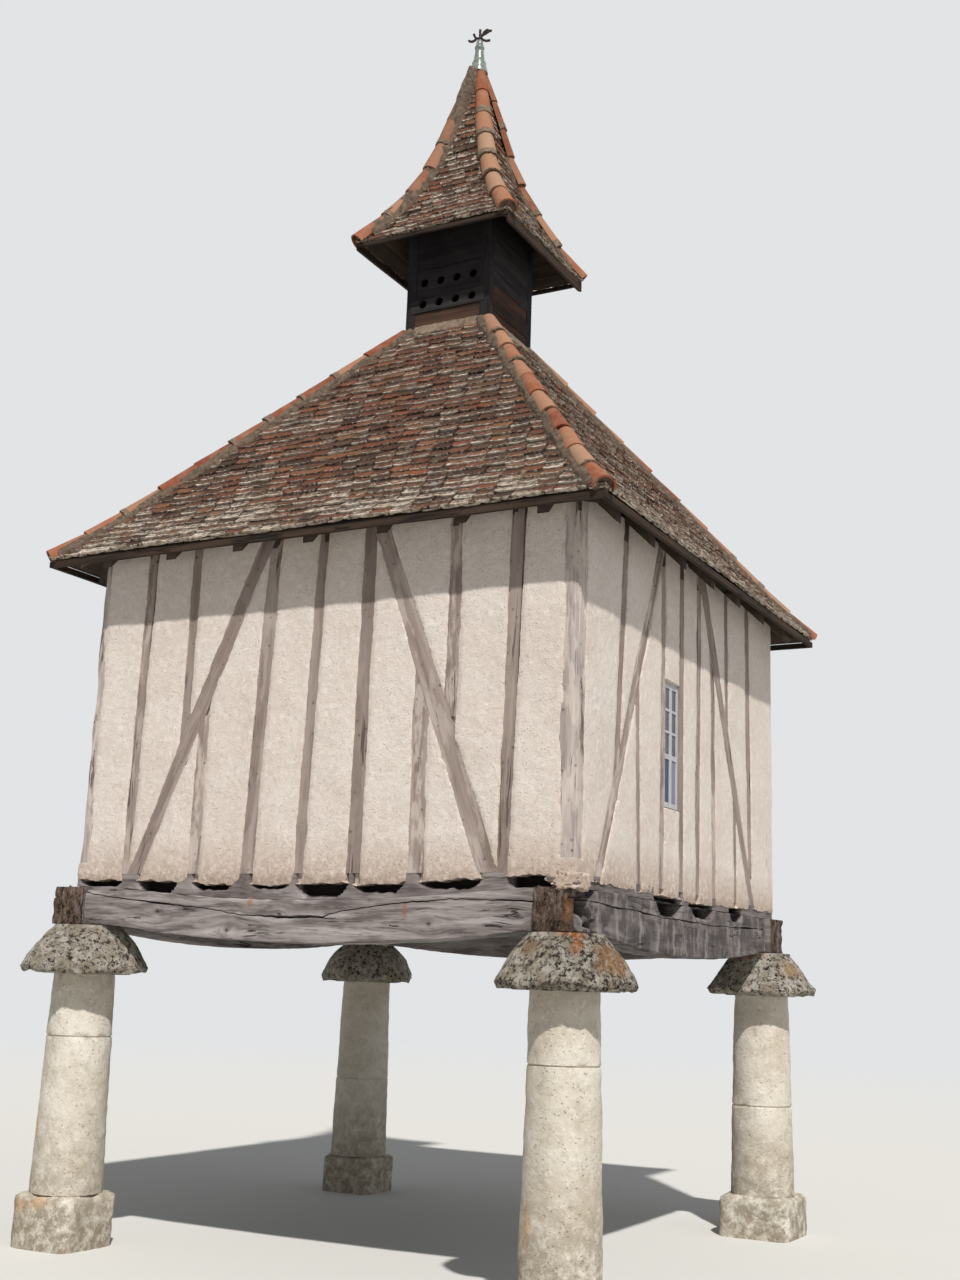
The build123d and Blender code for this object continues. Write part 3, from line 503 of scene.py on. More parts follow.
# %% Cap stone
orange_spots = (
    ((1.97, -2.04, 2.1), 0.09, (1.2, 1.0, 0.5), (222, 136, 52)),
    ((2.0, -2.05, 2.02), 0.08, (0.5, 1.0, 1.2), (214, 128, 48)),
    ((2.15, -1.9, 1.95), 0.13, (0.8, 1.4, 1.2), (190, 142, 96)),
    ((1.72, -2.12, 2.02), 0.07, (1.0, 1.0, 1.0), (164, 128, 92)),
    ((1.83, 1.55, 2.09), 0.1, (2.0, 1.0, 0.5), (200, 140, 80)),
    ((2.12, 1.7, 1.98), 0.1, (1.0, 1.4, 1.0), (204, 170, 132)),
)
t = Finish("cap_stone", 0.95)
mottle = t.cloud(15.0, 9.0, 0.84)
t.start(t.spread(mottle, 0.42, 0.58), (64, 55, 48), (138, 123, 109))
away = t.calc("MAXIMUM", t.spread(t.axis("X"), 0.5, -0.5), t.spread(t.axis("Y"), -0.5, 0.5))
pale_crust = t.spread(t.plus(t.cloud(30.0, 10.0, 0.82), t.times(away, 0.022)), 0.468, 0.498)
t.layer(pale_crust, t.blend(t.grit(12.0, 6.0, 0.55, 0.42, 0.58), (230, 222, 208), (190, 178, 158)), 0.92)
for size, cover, first, second in (
    (0.045, 0.24, (222, 217, 206), (190, 182, 168)),
    (0.03, 0.2, (48, 41, 36), (82, 72, 62)),
):
    spot, tone = t.crust(size, cover)
    t.layer(spot, t.blend(tone, first, second), 0.9)
for centre, reach, stretch, shade in orange_spots:
    fringe = t.grit(44.0, 8.0, 0.84, 0.42, 0.5)
    t.layer(t.times(t.stain(centre, reach, stretch), fringe), shade, 0.9)
fine = t.plus(t.cloud(60.0, 6.0, 0.8), t.times(pale_crust, 0.35))
cap_stone = t.done(t.plus(fine, t.times(mottle, 1.6)), 0.03)
print("stone ready")

# %% [markdown]
# ## Clay and mortar
# The small flat tiles are brown-red clay gone dark and grey with age. No two are alike, so every
# tile carries three random numbers on its mesh, and the material turns them into its tone and its
# share of lichen. The round hip tiles are newer and still orange. Three mortars differ in tone.

# %% Flat tiles
t = Finish("plain_tiles", 0.92)
chance = t.put("SeparateXYZ", {0: t.attribute("chance", "Vector")}).outputs
toe = t.attribute("edge")
level = t.axis("Z")
t.ramp(chance[0], (44, 31, 25), (78, 48, 36), (104, 60, 42), (80, 62, 49), (124, 72, 50), (118, 86, 62))
t.layer(t.patch(0.7, 0.4, 0.6), (90, 70, 54), 0.35)
t.layer(t.patch(0.05, 0.46, 0.62), (56, 42, 35), 0.5)
aged = t.calc("MAXIMUM", t.spread(level, 5.3, 4.75), t.times(t.spread(level, 7.45, 7.55), 0.3))
growth = t.plus(t.times(t.spread(toe, 0.84, 0.96), 0.13), t.times(aged, 0.08))
growth = t.plus(growth, t.times(chance[1], 0.15))
crust = t.spread(t.plus(t.cloud(46.0, 8.0, 0.84), growth), 0.665, 0.695)
t.layer(crust, t.blend(t.grit(24.0, 4.0, 0.55, 0.35, 0.65), (140, 124, 106), (216, 205, 190)), 0.85)
t.layer(t.patch(0.14, 0.64, 0.72), (150, 84, 44), 0.5)
# Painted shadow: each tile is darkened in the strip just below the foot of the row above, where that row's
# toe casts its shade; some moss there is part of it too.
t.layer(t.spread(toe, 0.68, 0.6), (28, 22, 19), 0.8)
plain_clay = t.done(t.plus(t.cloud(90.0, 4.0, 0.7), t.times(crust, 0.8)), 0.005)

# %% Round hip tiles
t = Finish("hip_tiles", 0.88)
chance = t.put("SeparateXYZ", {0: t.attribute("chance", "Vector")}).outputs
t.ramp(chance[0], (114, 58, 41), (138, 82, 57), (156, 116, 90), (120, 72, 51), (160, 128, 104))
t.layer(t.patch(0.09, 0.42, 0.62), (150, 116, 95), 0.45)
spot, tone = t.crust(0.05, 0.3)
cover = t.times(spot, t.spread(chance[1], 0.2, 0.8))
t.layer(cover, t.blend(tone, (134, 120, 98), (96, 84, 72)), 0.75)
hip_clay = t.done(t.cloud(80.0, 4.0, 0.6), 0.003)

# %% Mortars


def mortar_finish(name, scale, dark, light, depth, mossy=False):
    """Rough mortar between two tones."""
    t = Finish(name, 0.95)
    t.start(t.grit(scale, 6.0, 0.75, 0.35, 0.65), dark, light)
    if mossy:
        t.layer(t.crust(0.05, 0.24)[0], (120, 110, 92), 0.5)
    return t.done(t.cloud(60.0, 5.0, 0.7), depth)


mortar = mortar_finish("mortar", 26.0, (66, 54, 46), (122, 106, 91), 0.012, mossy=True)
kerb_mortar = mortar_finish("kerb_mortar", 22.0, (98, 82, 70), (148, 130, 114), 0.012)
lap_mortar = mortar_finish("lap_mortar", 30.0, (88, 72, 61), (138, 119, 102), 0.008)
print("clay and mortar ready")

# %% [markdown]
# ## Window, glaze and iron
# Faded paint covers the window, clear panes close its upper lights, a milky green glaze covers the
# finial, and its ornament is bare dark iron with a little rust.

# %% Paint, glass, glaze and iron


def paint(name, coat, bare):
    """Old paint that has worn through to the wood in places."""
    t = Finish(name, 0.6)
    worn = t.patch(0.02, 0.6, 0.68, vector=t.scaled(t.place, 1.0, 1.0, 0.25))
    coat = colour(*coat)
    t.start(t.cloud(12.0), coat, (*[0.8 * part for part in coat[:3]], 1.0))
    t.layer(worn, bare, 0.7)
    return t.done(t.times(worn, -1.0), 0.001)


window_paint = paint("window_paint", (184, 184, 188), (132, 122, 118))
light_paint = paint("window_light_paint", (128, 130, 146), (104, 102, 108))
dark_paint = paint("window_dark_paint", (76, 78, 104), (64, 62, 76))

t = Finish("window_glass", 0.06, IOR=1.45, Transmission_Weight=0.75)
smear = t.patch(0.05, 0.4, 0.7)
t.start(smear, (104, 104, 118), (136, 134, 146))
glass = t.done(roughness=t.spread(smear, 0.0, 1.0, 0.05, 0.3))

t = Finish("glazed_finial", 0.3, Coat_Weight=0.3, Coat_Roughness=0.15)
t.start(t.patch(0.05, 0.42, 0.6), (92, 103, 93), (118, 126, 118))
chip = t.patch(0.02, 0.64, 0.7)
t.layer(chip, (110, 92, 72))
glaze = t.done(t.cloud(40.0), 0.002, t.spread(chip, 0.0, 1.0, 0.25, 0.8))

t = Finish("wrought_iron", 0.65, Metallic=0.6)
rusty = t.patch(0.03, 0.5, 0.66)
t.start(rusty, (44, 42, 42), (88, 60, 44))
iron = t.done(t.cloud(160.0, 4.0), 0.001, t.spread(rusty, 0.0, 1.0, 0.5, 0.9))
print("materials:", len(bpy.data.materials))

# %% [markdown]
# ## Building pieces
# Most pieces are many blocks or tiles joined in one mesh. `block` makes one timber: a cube
# stretched between two corners, cut into a grid and bent by a rule. It also stores the grain's
# coordinates before bending, so the lines run true. `new_piece` joins such parts and hands the
# result to the frame. The random numbers and the vector noise are both seeded, because Blender
# would otherwise seed its noise from the clock, so every run gives the same shapes.

# %% Shape helpers
luck = random.Random(7)
noise.seed_set(7)
total_triangles = 0
stored_values = {
    "grain": ("FLOAT_VECTOR", "vector"),
    "chance": ("FLOAT_VECTOR", "vector"),
    "tint": ("FLOAT", "value"),
    "edge": ("FLOAT", "value"),
}


def soft(point, size, seed=0.0):
    """Smooth random value between -1 and 1 that changes over about this size."""
    return noise.noise(Vector(point) / size + Vector((seed, 7.3 * seed, 3.1 * seed)))


def waves(point, *kinds, seed=0.0):
    """Soft values of several sizes added up, each with its own height."""
    return sum(height * soft(point, size, seed) for size, height in kinds)


def wander(point, size, amount, seed=0.0):
    """A soft vector, to push a point about."""
    return noise.noise_vector(Vector(point) / size + Vector((seed, 7.3 * seed, 3.1 * seed))) * amount


def lerp(first, second, share):
    return first + (second - first) * share


def take(shape):
    """Reads a bmesh into plain points, faces and per-point values, then frees it."""
    shape.verts.index_update()
    part = {
        "points": [vert.co.copy() for vert in shape.verts],
        "faces": [[vert.index for vert in face.verts] for face in shape.faces],
    }
    for name, layer in shape.verts.layers.float.items():
        part[name] = [vert[layer] for vert in shape.verts]
    for name, layer in shape.verts.layers.float_vector.items():
        part[name] = [vert[layer].copy() for vert in shape.verts]
    shape.free()
    return part


def cube(low, high, cuts):
    """A box between two corners, cut across each axis in turn."""
    low, high = Vector(low), Vector(high)
    shape = bmesh.new()
    bmesh.ops.create_cube(shape, size=1.0)
    bmesh.ops.scale(shape, vec=high - low, verts=shape.verts)
    bmesh.ops.translate(shape, vec=(high + low) / 2, verts=shape.verts)
    for axis, count in enumerate(cuts):
        edges = [edge for edge in shape.edges if abs((edge.verts[0].co - edge.verts[1].co)[axis]) > 1e-6]
        if count:
            bmesh.ops.subdivide_edges(shape, edges=edges, cuts=count, use_grid_fill=True)
    return shape


def block(low, high, cuts, shape_rule=None, along=2, tint=None):
    """One timber, board or stone between two corners, bent by a rule and marked with its grain."""
    shape = cube(low, high, cuts)
    shift = Vector([luck.uniform(0.0, 40.0) for _ in range(3)])
    tone = luck.random() if tint is None else tint
    part = take(shape)
    order = (along, (along + 1) % 3, (along + 2) % 3)
    part["tint"] = [tone] * len(part["points"])
    part["grain"] = [Vector([point[axis] for axis in order]) + shift for point in part["points"]]
    if shape_rule:
        part["points"] = [shape_rule(point) for point in part["points"]]
    return part


def regrain(part, *scale):
    """Stretches a part's grain, for a block that was built in other units than metres."""
    part["grain"] = [Vector([value * times for value, times in zip(g, scale)]) for g in part["grain"]]
    return part


def corner_post(x, y, inner, outer, bottom, top, cuts, rule, tint):
    """A post in one corner of a square frame."""
    low = (min(x * inner, x * outer), min(y * inner, y * outer), bottom)
    high = (max(x * inner, x * outer), max(y * inner, y * outer), top)
    return block(low, high, cuts, rule, tint=tint)


def joined(name, parts):
    """One mesh from many parts, with their values as attributes."""
    points, faces, start = [], [], 0
    for part in parts:
        points += [tuple(point) for point in part["points"]]
        faces += [[index + start for index in face] for face in part["faces"]]
        start += len(part["points"])
    mesh = bpy.data.meshes.new(name)
    mesh.from_pydata(points, [], faces)
    for label, (kind, field) in stored_values.items():
        if label in parts[0]:
            values = np.array([value for part in parts for value in part[label]], np.float32)
            mesh.attributes.new(label, kind, "POINT").data.foreach_set(field, values.ravel())
    return mesh


def sliced(parts, *planes):
    """Cuts parts away beyond each plane, given as a point and a direction, and closes the cuts."""
    shape = bmesh.new()
    shape.from_mesh(joined("whole", parts))
    for place, normal in planes:
        everything = shape.verts[:] + shape.edges[:] + shape.faces[:]
        bmesh.ops.bisect_plane(shape, geom=everything, dist=1e-5, plane_co=place, plane_no=normal,
                               clear_outer=True)
        bmesh.ops.holes_fill(shape, edges=[edge for edge in shape.edges if edge.is_boundary], sides=0)
    return take(shape)


def new_piece(name, parts, material, slot, *replaced, sharp=40.0):
    """Makes a piece of parts: outward faces, shading, material, and its place in the frame."""
    global total_triangles
    mesh = joined(name, parts)
    shape = bmesh.new()
    shape.from_mesh(mesh)
    bmesh.ops.recalc_face_normals(shape, faces=shape.faces)
    shape.to_mesh(mesh)
    shape.free()
    mesh.polygons.foreach_set("use_smooth", [True] * len(mesh.polygons))
    mesh.set_sharp_from_angle(angle=radians(sharp))
    mesh.materials.append(material)
    piece = bpy.data.objects.new(name, mesh)
    bpy.context.scene.collection.objects.link(piece)
    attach(piece, "root")
    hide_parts(*replaced)
    count = sum(len(face.vertices) - 2 for face in mesh.polygons)
    total_triangles += count
    print(f"{name}: {count} triangles")


def keep(material, *kept):
    """Gives CAD nodes that stay their material."""
    for node in kept:
        holder = nodes[node]
        if not holder.material_slots:
            holder.data.materials.append(material)
        for material_slot in holder.material_slots:
            material_slot.material = material


# %% [markdown]
# ## Reading the walls from the CAD
# Studs and braces lean, each in its own way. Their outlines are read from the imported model, so
# plaster and timbers made here agree with it. A wall is described by its outward direction and
# the direction that runs to the right when it is seen from outside.

# %% Walls and their timbers
walls = {
    "front": (Vector((0, -1, 0)), Vector((1, 0, 0))),
    "right": (Vector((1, 0, 0)), Vector((0, 1, 0))),
    "rear": (Vector((0, 1, 0)), Vector((-1, 0, 0))),
    "left": (Vector((-1, 0, 0)), Vector((0, -1, 0))),
}
corners = ((-1, -1), (1, -1), (1, 1), (-1, 1))
half_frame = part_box("corner_posts")[1].x
sill_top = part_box("corner_posts")[0].z
beam_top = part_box("floor_boards")[0].z
plate_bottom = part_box("corner_posts")[1].z
wall_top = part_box("side_wall_plates")[1].z - 0.01
wall_thickness = 0.13
under_brace = 0.08


def on_wall(side, along, height, out=0.0):
    """A point given along a wall, up it and out of its face."""
    outward, rightward = walls[side]
    return outward * (half_frame + out) + rightward * along + Vector((0, 0, height))


def solids_of(node):
    """The separate solids of a CAD node as corner points, sorted by place so the order is fixed."""
    shape = bmesh.new()
    shape.from_mesh(nodes[node].data)
    bmesh.ops.remove_doubles(shape, verts=shape.verts, dist=1e-5)
    waiting, found = set(shape.verts), []
    while waiting:
        front = [waiting.pop()]
        points = []
        while front:
            vert = front.pop()
            points.append(vert.co.copy())
            near = [edge.other_vert(vert) for edge in vert.link_edges]
            fresh = [other for other in near if other in waiting]
            waiting.difference_update(fresh)
            front += fresh
        found.append(points)
    shape.free()
    return sorted(found, key=lambda points: min(tuple(point) for point in points))


def outlines(side, node):
    """Outlines of a wall's timbers: low left, low right, high left, high right as (along, height)."""
    outward, rightward = walls[side]
    found = []
    for points in solids_of(node):
        if min(point.dot(outward) for point in points) < half_frame - wall_thickness - 0.01:
            continue
        outer = [point for point in points if point.dot(outward) > half_frame - 0.001]
        spots = {(round(point.dot(rightward), 4), round(point.z, 4)) for point in outer}
        spots = sorted(spots, key=lambda spot: spot[1])
        ordered = sorted(spots[:2]) + sorted(spots[-2:])
        low_left, low_right, high_left, high_right = [Vector(spot) for spot in ordered]
        way = (high_left - low_left).normalized() * under_brace
        if high_left.y < plate_bottom - 0.05 and high_right.y < plate_bottom - 0.05:
            high_left, high_right = high_left + way, high_right + way
        if low_left.y > sill_top + 0.05 and low_right.y > sill_top + 0.05:
            low_left, low_right = low_left - way, low_right - way
        found.append([tuple(spot) for spot in (low_left, low_right, high_left, high_right)])
    return found


studs = {side: outlines(side, f"{side}_studs") for side in walls}
braces = {side: outlines(side, "wall_braces") for side in walls}
for side in walls:
    print(side, "studs:", len(studs[side]), "braces:", len(braces[side]))

# %% [markdown]
# ## Plaster panels
# On the real wall the coat is laid between the timbers, laps over their edges a little, and hangs
# over the rotten sill in a ragged lip. One fine grid covers the whole wall; points on a timber sink
# behind its face and points near its edge slide onto the edge, so the lip stays crisp. The rim is
# pulled back into the wall and closed, which gives the coat its thickness.

# %% Plaster
plaster_proud = 0.009
plaster_sunk = -0.022
plaster_back = -0.12
plaster_foot = 2.4
lapped = 0.003
plaster_cell = {"front": 0.012, "right": 0.012, "rear": 0.019, "left": 0.019}
foot_line = {
    "front": ((-1, 2.412), (-0.89, 2.409), (-0.63, 2.405), (-0.39, 2.382), (-0.14, 2.368), (0.07, 2.388),
              (0.3, 2.378), (0.56, 2.41), (0.85, 2.432), (1, 2.44)),
    "right": ((-1, 2.42), (-0.6, 2.405), (-0.21, 2.4), (0.14, 2.39), (0.5, 2.41), (1, 2.43)),
}
bare_corner = {"front": (0.06, 0.088), "right": (0.1, 0.0), "rear": (0.0, 0.06), "left": (0.06, 0.055)}
post_foot_cover = 2.53
above_wall = 4.9
window_low, window_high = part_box("window_frame")
window_margin = 0.03


def bare_strips(side):
    """The strips of a wall that stay bare: its timbers, and the corner posts' outer edges."""
    strips = [(outline, 0.0) for outline in studs[side] + braces[side]]
    for end, width in zip((-1, 1), bare_corner[side]):
        if width:
            low, high = sorted((end * (half_frame - width), end * (half_frame + 0.05)))
            levels = (post_foot_cover, above_wall)
            strips.append(([(along, level) for level in levels for along in (low, high)], 0.006))
    return strips


def ragged_edges(outline, extra, height, key):
    """A strip's left and right edges at each height, with the plaster's uneven lap over them."""
    level = np.linspace(2.3, above_wall, 521)
    edges = []
    for (foot, head), lap, side_key in ((outline[::2], -lapped, 0.0), (outline[1::2], lapped, 9.0)):
        straight = foot[0] + (head[0] - foot[0]) * (height - foot[1]) / (head[1] - foot[1])
        kinds = ((0.35, 0.008 + extra), (0.07, 0.005), (0.02, 0.003))
        roam = [waves((v, side_key, key), *kinds) for v in level]
        edges.append(straight + lap + np.interp(height, level, roam))
    return edges


def distance_to_strips(side, along, height, seed):
    """For each point: how far it is from a strip, the way to its edge, and which way is inward."""
    gap, to_edge, into = np.full(len(along), 1.0), np.zeros(len(along)), np.zeros(len(along))
    for index, (outline, extra) in enumerate(bare_strips(side)):
        head = max(outline[2][1], outline[3][1])
        bottom = min(outline[0][1], outline[1][1]) - (0.0 if extra else 0.05)
        top = head + (0.2 if head > plate_bottom - 0.01 else 0.0)
        left, right = ragged_edges(outline, extra, height, seed + 1.7 * index)
        from_left = left - along > along - right
        beyond = np.maximum(left - along, along - right)
        live = (height > bottom) & (height < top) & (beyond < gap)
        gap[live] = beyond[live]
        to_edge[live] = np.where(from_left, left - along, right - along)[live]
        into[live] = np.where(from_left, 1.0, -1.0)[live]
    return gap, to_edge, into


def plaster_out(along, height, gap, seed):
    """How far the coat stands out at a point: wavy, and thinner near timbers, foot and corners."""
    out = plaster_proud + waves((along, height, seed), (0.6, 0.008), (0.16, 0.004), (0.045, 0.002))
    out -= 0.006 * max(0.0, 1 - max(gap, 0.0) / 0.035) ** 2
    out -= 0.006 * max(0.0, 1 - (height - plaster_foot) / 0.05) ** 2
    return out - 0.25 * max(0.0, 0.02 - (half_frame + out - abs(along)))


def plaster_coat(side, seed):
    """The whole coat of one wall; at a bare corner it stops short of the post's faces."""
    outward = walls[side][0]
    reach = half_frame + 0.006
    cell = plaster_cell[side]
    shape = bmesh.new()
    bmesh.ops.create_grid(shape, x_segments=round(2 * reach / cell),
                          y_segments=round((wall_top - plaster_foot) / cell), size=1.0)
    flat = np.array([vert.co for vert in shape.verts])
    along = flat[:, 0] * reach
    height = lerp(plaster_foot, wall_top, (flat[:, 1] + 1) / 2)
    if side == "right":
        for values, axis in ((along, 1), (height, 2)):
            for limit in (window_low[axis], window_high[axis]):
                values[np.abs(values - limit) <= cell / 2 + 1e-4] = limit
    gap, to_edge, into = distance_to_strips(side, along, height, seed)
    if side == "right":
        beside = (along > window_low.y - window_margin) & (along < window_high.y + window_margin)
        level_with = (height > window_low.z - 0.001) & (height < window_high.z + 0.001)
        gap[beside & level_with] = -1.0
    on_edge = (gap > -0.5 * cell) & (gap <= 0.5 * cell)
    just_in = (gap > -1.5 * cell) & (gap <= -0.5 * cell)
    sunk = gap <= -0.5 * cell
    along = np.where(on_edge, along + to_edge, along)
    along = np.where(just_in, along + to_edge + into * 0.003, along)
    along = np.where(sunk, np.clip(along, 0.02 - half_frame, half_frame - 0.02), along)
    table = foot_line.get(side, ((-1, 2.41), (1, 2.41)))
    lip = np.interp(along / half_frame, *zip(*table)) - plaster_foot
    ragged = np.array([0.014 * soft((a, 0, seed), 0.12) + 0.01 * soft((a, 4, seed), 0.03) for a in along])
    height = height + np.clip(1 - (height - plaster_foot) / 0.3, 0, 1) ** 2 * (lip + ragged)
    layer = shape.verts.layers.float.new("edge")
    for vert, *spot, g, is_sunk in zip(shape.verts, along.tolist(), height.tolist(), gap.tolist(), sunk):
        vert[layer] = min(1.0, max(0.0, 1 - g / 0.05))
        vert.co = on_wall(side, *spot, plaster_sunk if is_sunk else plaster_out(*spot, g, seed))
    if side == "right":
        middles = [(face, face.calc_center_median()) for face in shape.faces]
        doomed = [face for face, middle in middles
                  if window_low.y < middle.y < window_high.y and window_low.z < middle.z < window_high.z]
        bmesh.ops.delete(shape, geom=doomed, context="FACES")
    rim = [edge for edge in shape.edges if edge.is_boundary]
    pulled = bmesh.ops.extrude_edge_only(shape, edges=rim)["geom"]
    for item in pulled:
        if isinstance(item, bmesh.types.BMVert):
            item.co += outward * (plaster_back - (item.co.dot(outward) - half_frame))
            item[layer] = 1.0
    back_edges = [item for item in pulled if isinstance(item, bmesh.types.BMEdge) and item.is_boundary]
    bmesh.ops.triangle_fill(shape, use_beauty=False, use_dissolve=False, edges=back_edges)
    return take(shape)


for number, side in enumerate(walls):
    coat = plaster_coat(side, 3.1 + 5.0 * number)
    new_piece(f"{side}_plaster", [coat], plaster, "plaster", f"{side}_infill", sharp=60.0)

# %% [markdown]
# ## Studs, braces and posts
# Hand-hewn timbers are never quite straight: their faces wander by a few millimetres and their
# arrises are worn. Each is a block whose corners are the CAD outline's, cut into a grid and pushed
# about by slow noise. The studs run up over the wall plate to the soffit, as they seem to do on
# the real walls.

# %% Wall timbers
timber_margin = 0.012


def timber_part(side, outline, seed, proud):
    """One stud or brace with a slightly crooked face; the plaster laps over its margins."""
    (a, b, c, d) = outline
    if max(c[1], d[1]) > plate_bottom - 0.01:
        lift = (wall_top - c[1]) / (c[1] - a[1])
        c = (c[0] + (c[0] - a[0]) * lift, wall_top)
    length = c[1] - a[1]
    width = b[0] - a[0] + 2 * timber_margin

    def rule(point):
        across, depth, up = point.x * width - timber_margin, point.y, point.z / length
        spot = Vector((a[0] + across, a[1])).lerp(Vector((c[0] + across, c[1])), up)
        out = proud - depth
        if depth < 0.01:
            out += waves((spot.x, spot.y, seed), (0.2, 0.0012), (0.05, 0.0006))
        return on_wall(side, spot.x, spot.y, out)

    cuts = (3, 0, max(3, round(length / 0.07)))
    size = (1, wall_thickness, length)
    return regrain(block((0, 0, 0), size, cuts, rule, tint=luck.random() ** 1.5), 1, width, 1)


for number, side in enumerate(walls):
    keyed = enumerate(studs[side], 31 * number)
    parts = [timber_part(side, outline, key, 0.0) for key, outline in keyed]
    new_piece(f"{side}_wall_studs", parts, stud_oak, "old_oak", f"{side}_studs")
parts = [
    timber_part(side, outline, 200 + 31 * number + index, 0.003)
    for number, side in enumerate(walls) for index, outline in enumerate(braces[side])
]
new_piece("raking_braces", parts, stud_oak, "old_oak", "wall_braces")

# %% Corner posts
post_inner, post_outer = half_frame - wall_thickness, half_frame + 0.003
parts = []
for number, (x, y) in enumerate(corners):

    def rule(point):
        spot = point + wander(point, 0.25, 0.004, number)
        near_corner = min(abs(point.x), abs(point.y)) - post_inner
        if near_corner > 0.9 * wall_thickness:
            spot -= Vector((x, y, 0)) * (0.008 + 0.007 * soft(point, 0.18, number))
        elif abs(soft((5 * point.x, 5 * point.y, point.z), 0.5, number + 20)) < 0.05 and 2.6 < point.z < 4.4:
            spot -= Vector((x, y, 0)) * 0.008
        return Vector((x * min(abs(spot.x), post_outer), y * min(abs(spot.y), post_outer), spot.z))

    parts.append(corner_post(x, y, post_inner, post_outer, sill_top, wall_top, (9, 9, 60), rule, 0.12))
new_piece("hewn_corner_posts", parts, oak, "old_oak", "corner_posts")

# %% [markdown]
# ## Sole beams and sill plates
# The beams are whole tree trunks, hewn square and bellied, silver grey with long open cracks. A
# row of the block's grid is laid along the measured crack, squeezed between two close rows and
# pushed in, so the crack is a real groove that opens and closes along its length. Hollows are
# pushed into beams and sills where the wood has rotted under the plaster. The hollows and the
# rotten notch at the right beam's end are painted dark: painted shade, over wood that rot has
# darkened.

# %% Sole beams
beam_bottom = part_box("front_left_pillar_cap")[1].z
beam_belly = beam_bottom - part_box("right_sole_beam")[0].z
belly_half = 1.587
beam_sag = 0.085
beam_width = 0.26
beam_cell_rows, crack_row = 26, 17
crack_half_width = 0.008
scoops = {
    "front": ((-0.99, -0.79, 0.05), (-0.72, -0.54, 0.09), (-0.48, -0.29, 0.065), (-0.23, -0.05, 0.055),
              (-0.04, 0.18, 0.105), (0.19, 0.4, 0.08), (0.44, 0.68, 0.055), (0.77, 0.94, 0.065)),
    "right": ((-0.34, -0.06, 0.135), (0.0, 0.27, 0.12), (0.44, 0.6, 0.1)),
}
front_crack = (
    (-1.8, 2.325), (-1.396, 2.278), (-0.962, 2.241), (-0.463, 2.182), (-0.145, 2.172), (0.162, 2.17),
    (0.309, 2.215), (0.746, 2.264), (1.096, 2.296), (1.437, 2.286), (1.72, 2.269),
)
plain_crack = ((-1.9, 2.3), (-0.5, 2.26), (0.6, 2.25), (1.9, 2.29))
rotten_end = (-1.94, -1.6)
knots = {
    "front": ((-0.567, 2.082, 0.1), (-0.162, 2.189, 0.07), (1.55, 2.2, 0.06), (-1.15, 2.2, 0.08),
              (0.95, 2.14, 0.07)),
    "right": ((-1.1, 2.2, 0.12), (0.2, 2.12, 0.09), (1.2, 2.22, 0.08)),
}


def belly(along):
    """1 at the middle of a beam and 0 where it rests on the caps."""
    return 1 - min(1.0, abs(along) / belly_half) ** 2


def hollowed(side, along, height, seed):
    """How deep the rotten hollows under the plaster reach at a point, 0 to 1."""
    for left, right, depth in scoops.get(side, ()):
        inside = 1 - abs(2 * (along / half_frame - left) / (right - left) - 1)
        if inside > 0:
            foot = sill_top - 0.04 - depth * min(1.0, 2.2 * inside) ** 0.5
            foot += 0.012 * soft((along, 0, seed), 0.05)
            if height > foot - 0.008:
                return min(1.0, 3 * inside) * min(1.0, (height - foot + 0.008) / 0.02)
    return 0.0


def decay(side, along, height, seed):
    """How far the right beam's rotten end is eaten away, 0 to 1."""
    low, high = rotten_end
    if side != "right" or not low < along < high:
        return 0.0
    middle = 1 - abs(2 * (along - low) / (high - low) - 1)
    rot = 0.2 + waves((along, height, seed), (0.1, 1.0), (0.035, 0.5))
    notch = max(0.0, 1 - abs(along + 1.84) / 0.06) * max(0.0, 1 - abs(height - 2.29) / 0.11)
    return min(1.0, max(0.0, min(1.0, 3 * middle) * rot * 1.2) + 1.6 * notch)


def beam_height(row, along, crack, sag, seed):
    """Height of a row of the grid: even below and above the crack, which has a row to itself."""
    low = beam_bottom - beam_belly * belly(along)
    high = beam_top - sag * belly(along)
    slit = np.interp(along, *zip(*crack)) + waves((along, 0, seed), (0.3, 0.009), (0.05, 0.005))
    slit = min(max(slit, low + 0.05), high - 0.03)
    gaping = crack_half_width * (0.5 + 1.6 * max(0.0, soft((along, 5, seed), 0.4)))
    if row < crack_row:
        return lerp(low, slit - gaping, row / (crack_row - 1))
    if row == crack_row:
        return slit
    return lerp(slit + gaping, high, (row - crack_row - 1) / (beam_cell_rows - crack_row - 1))


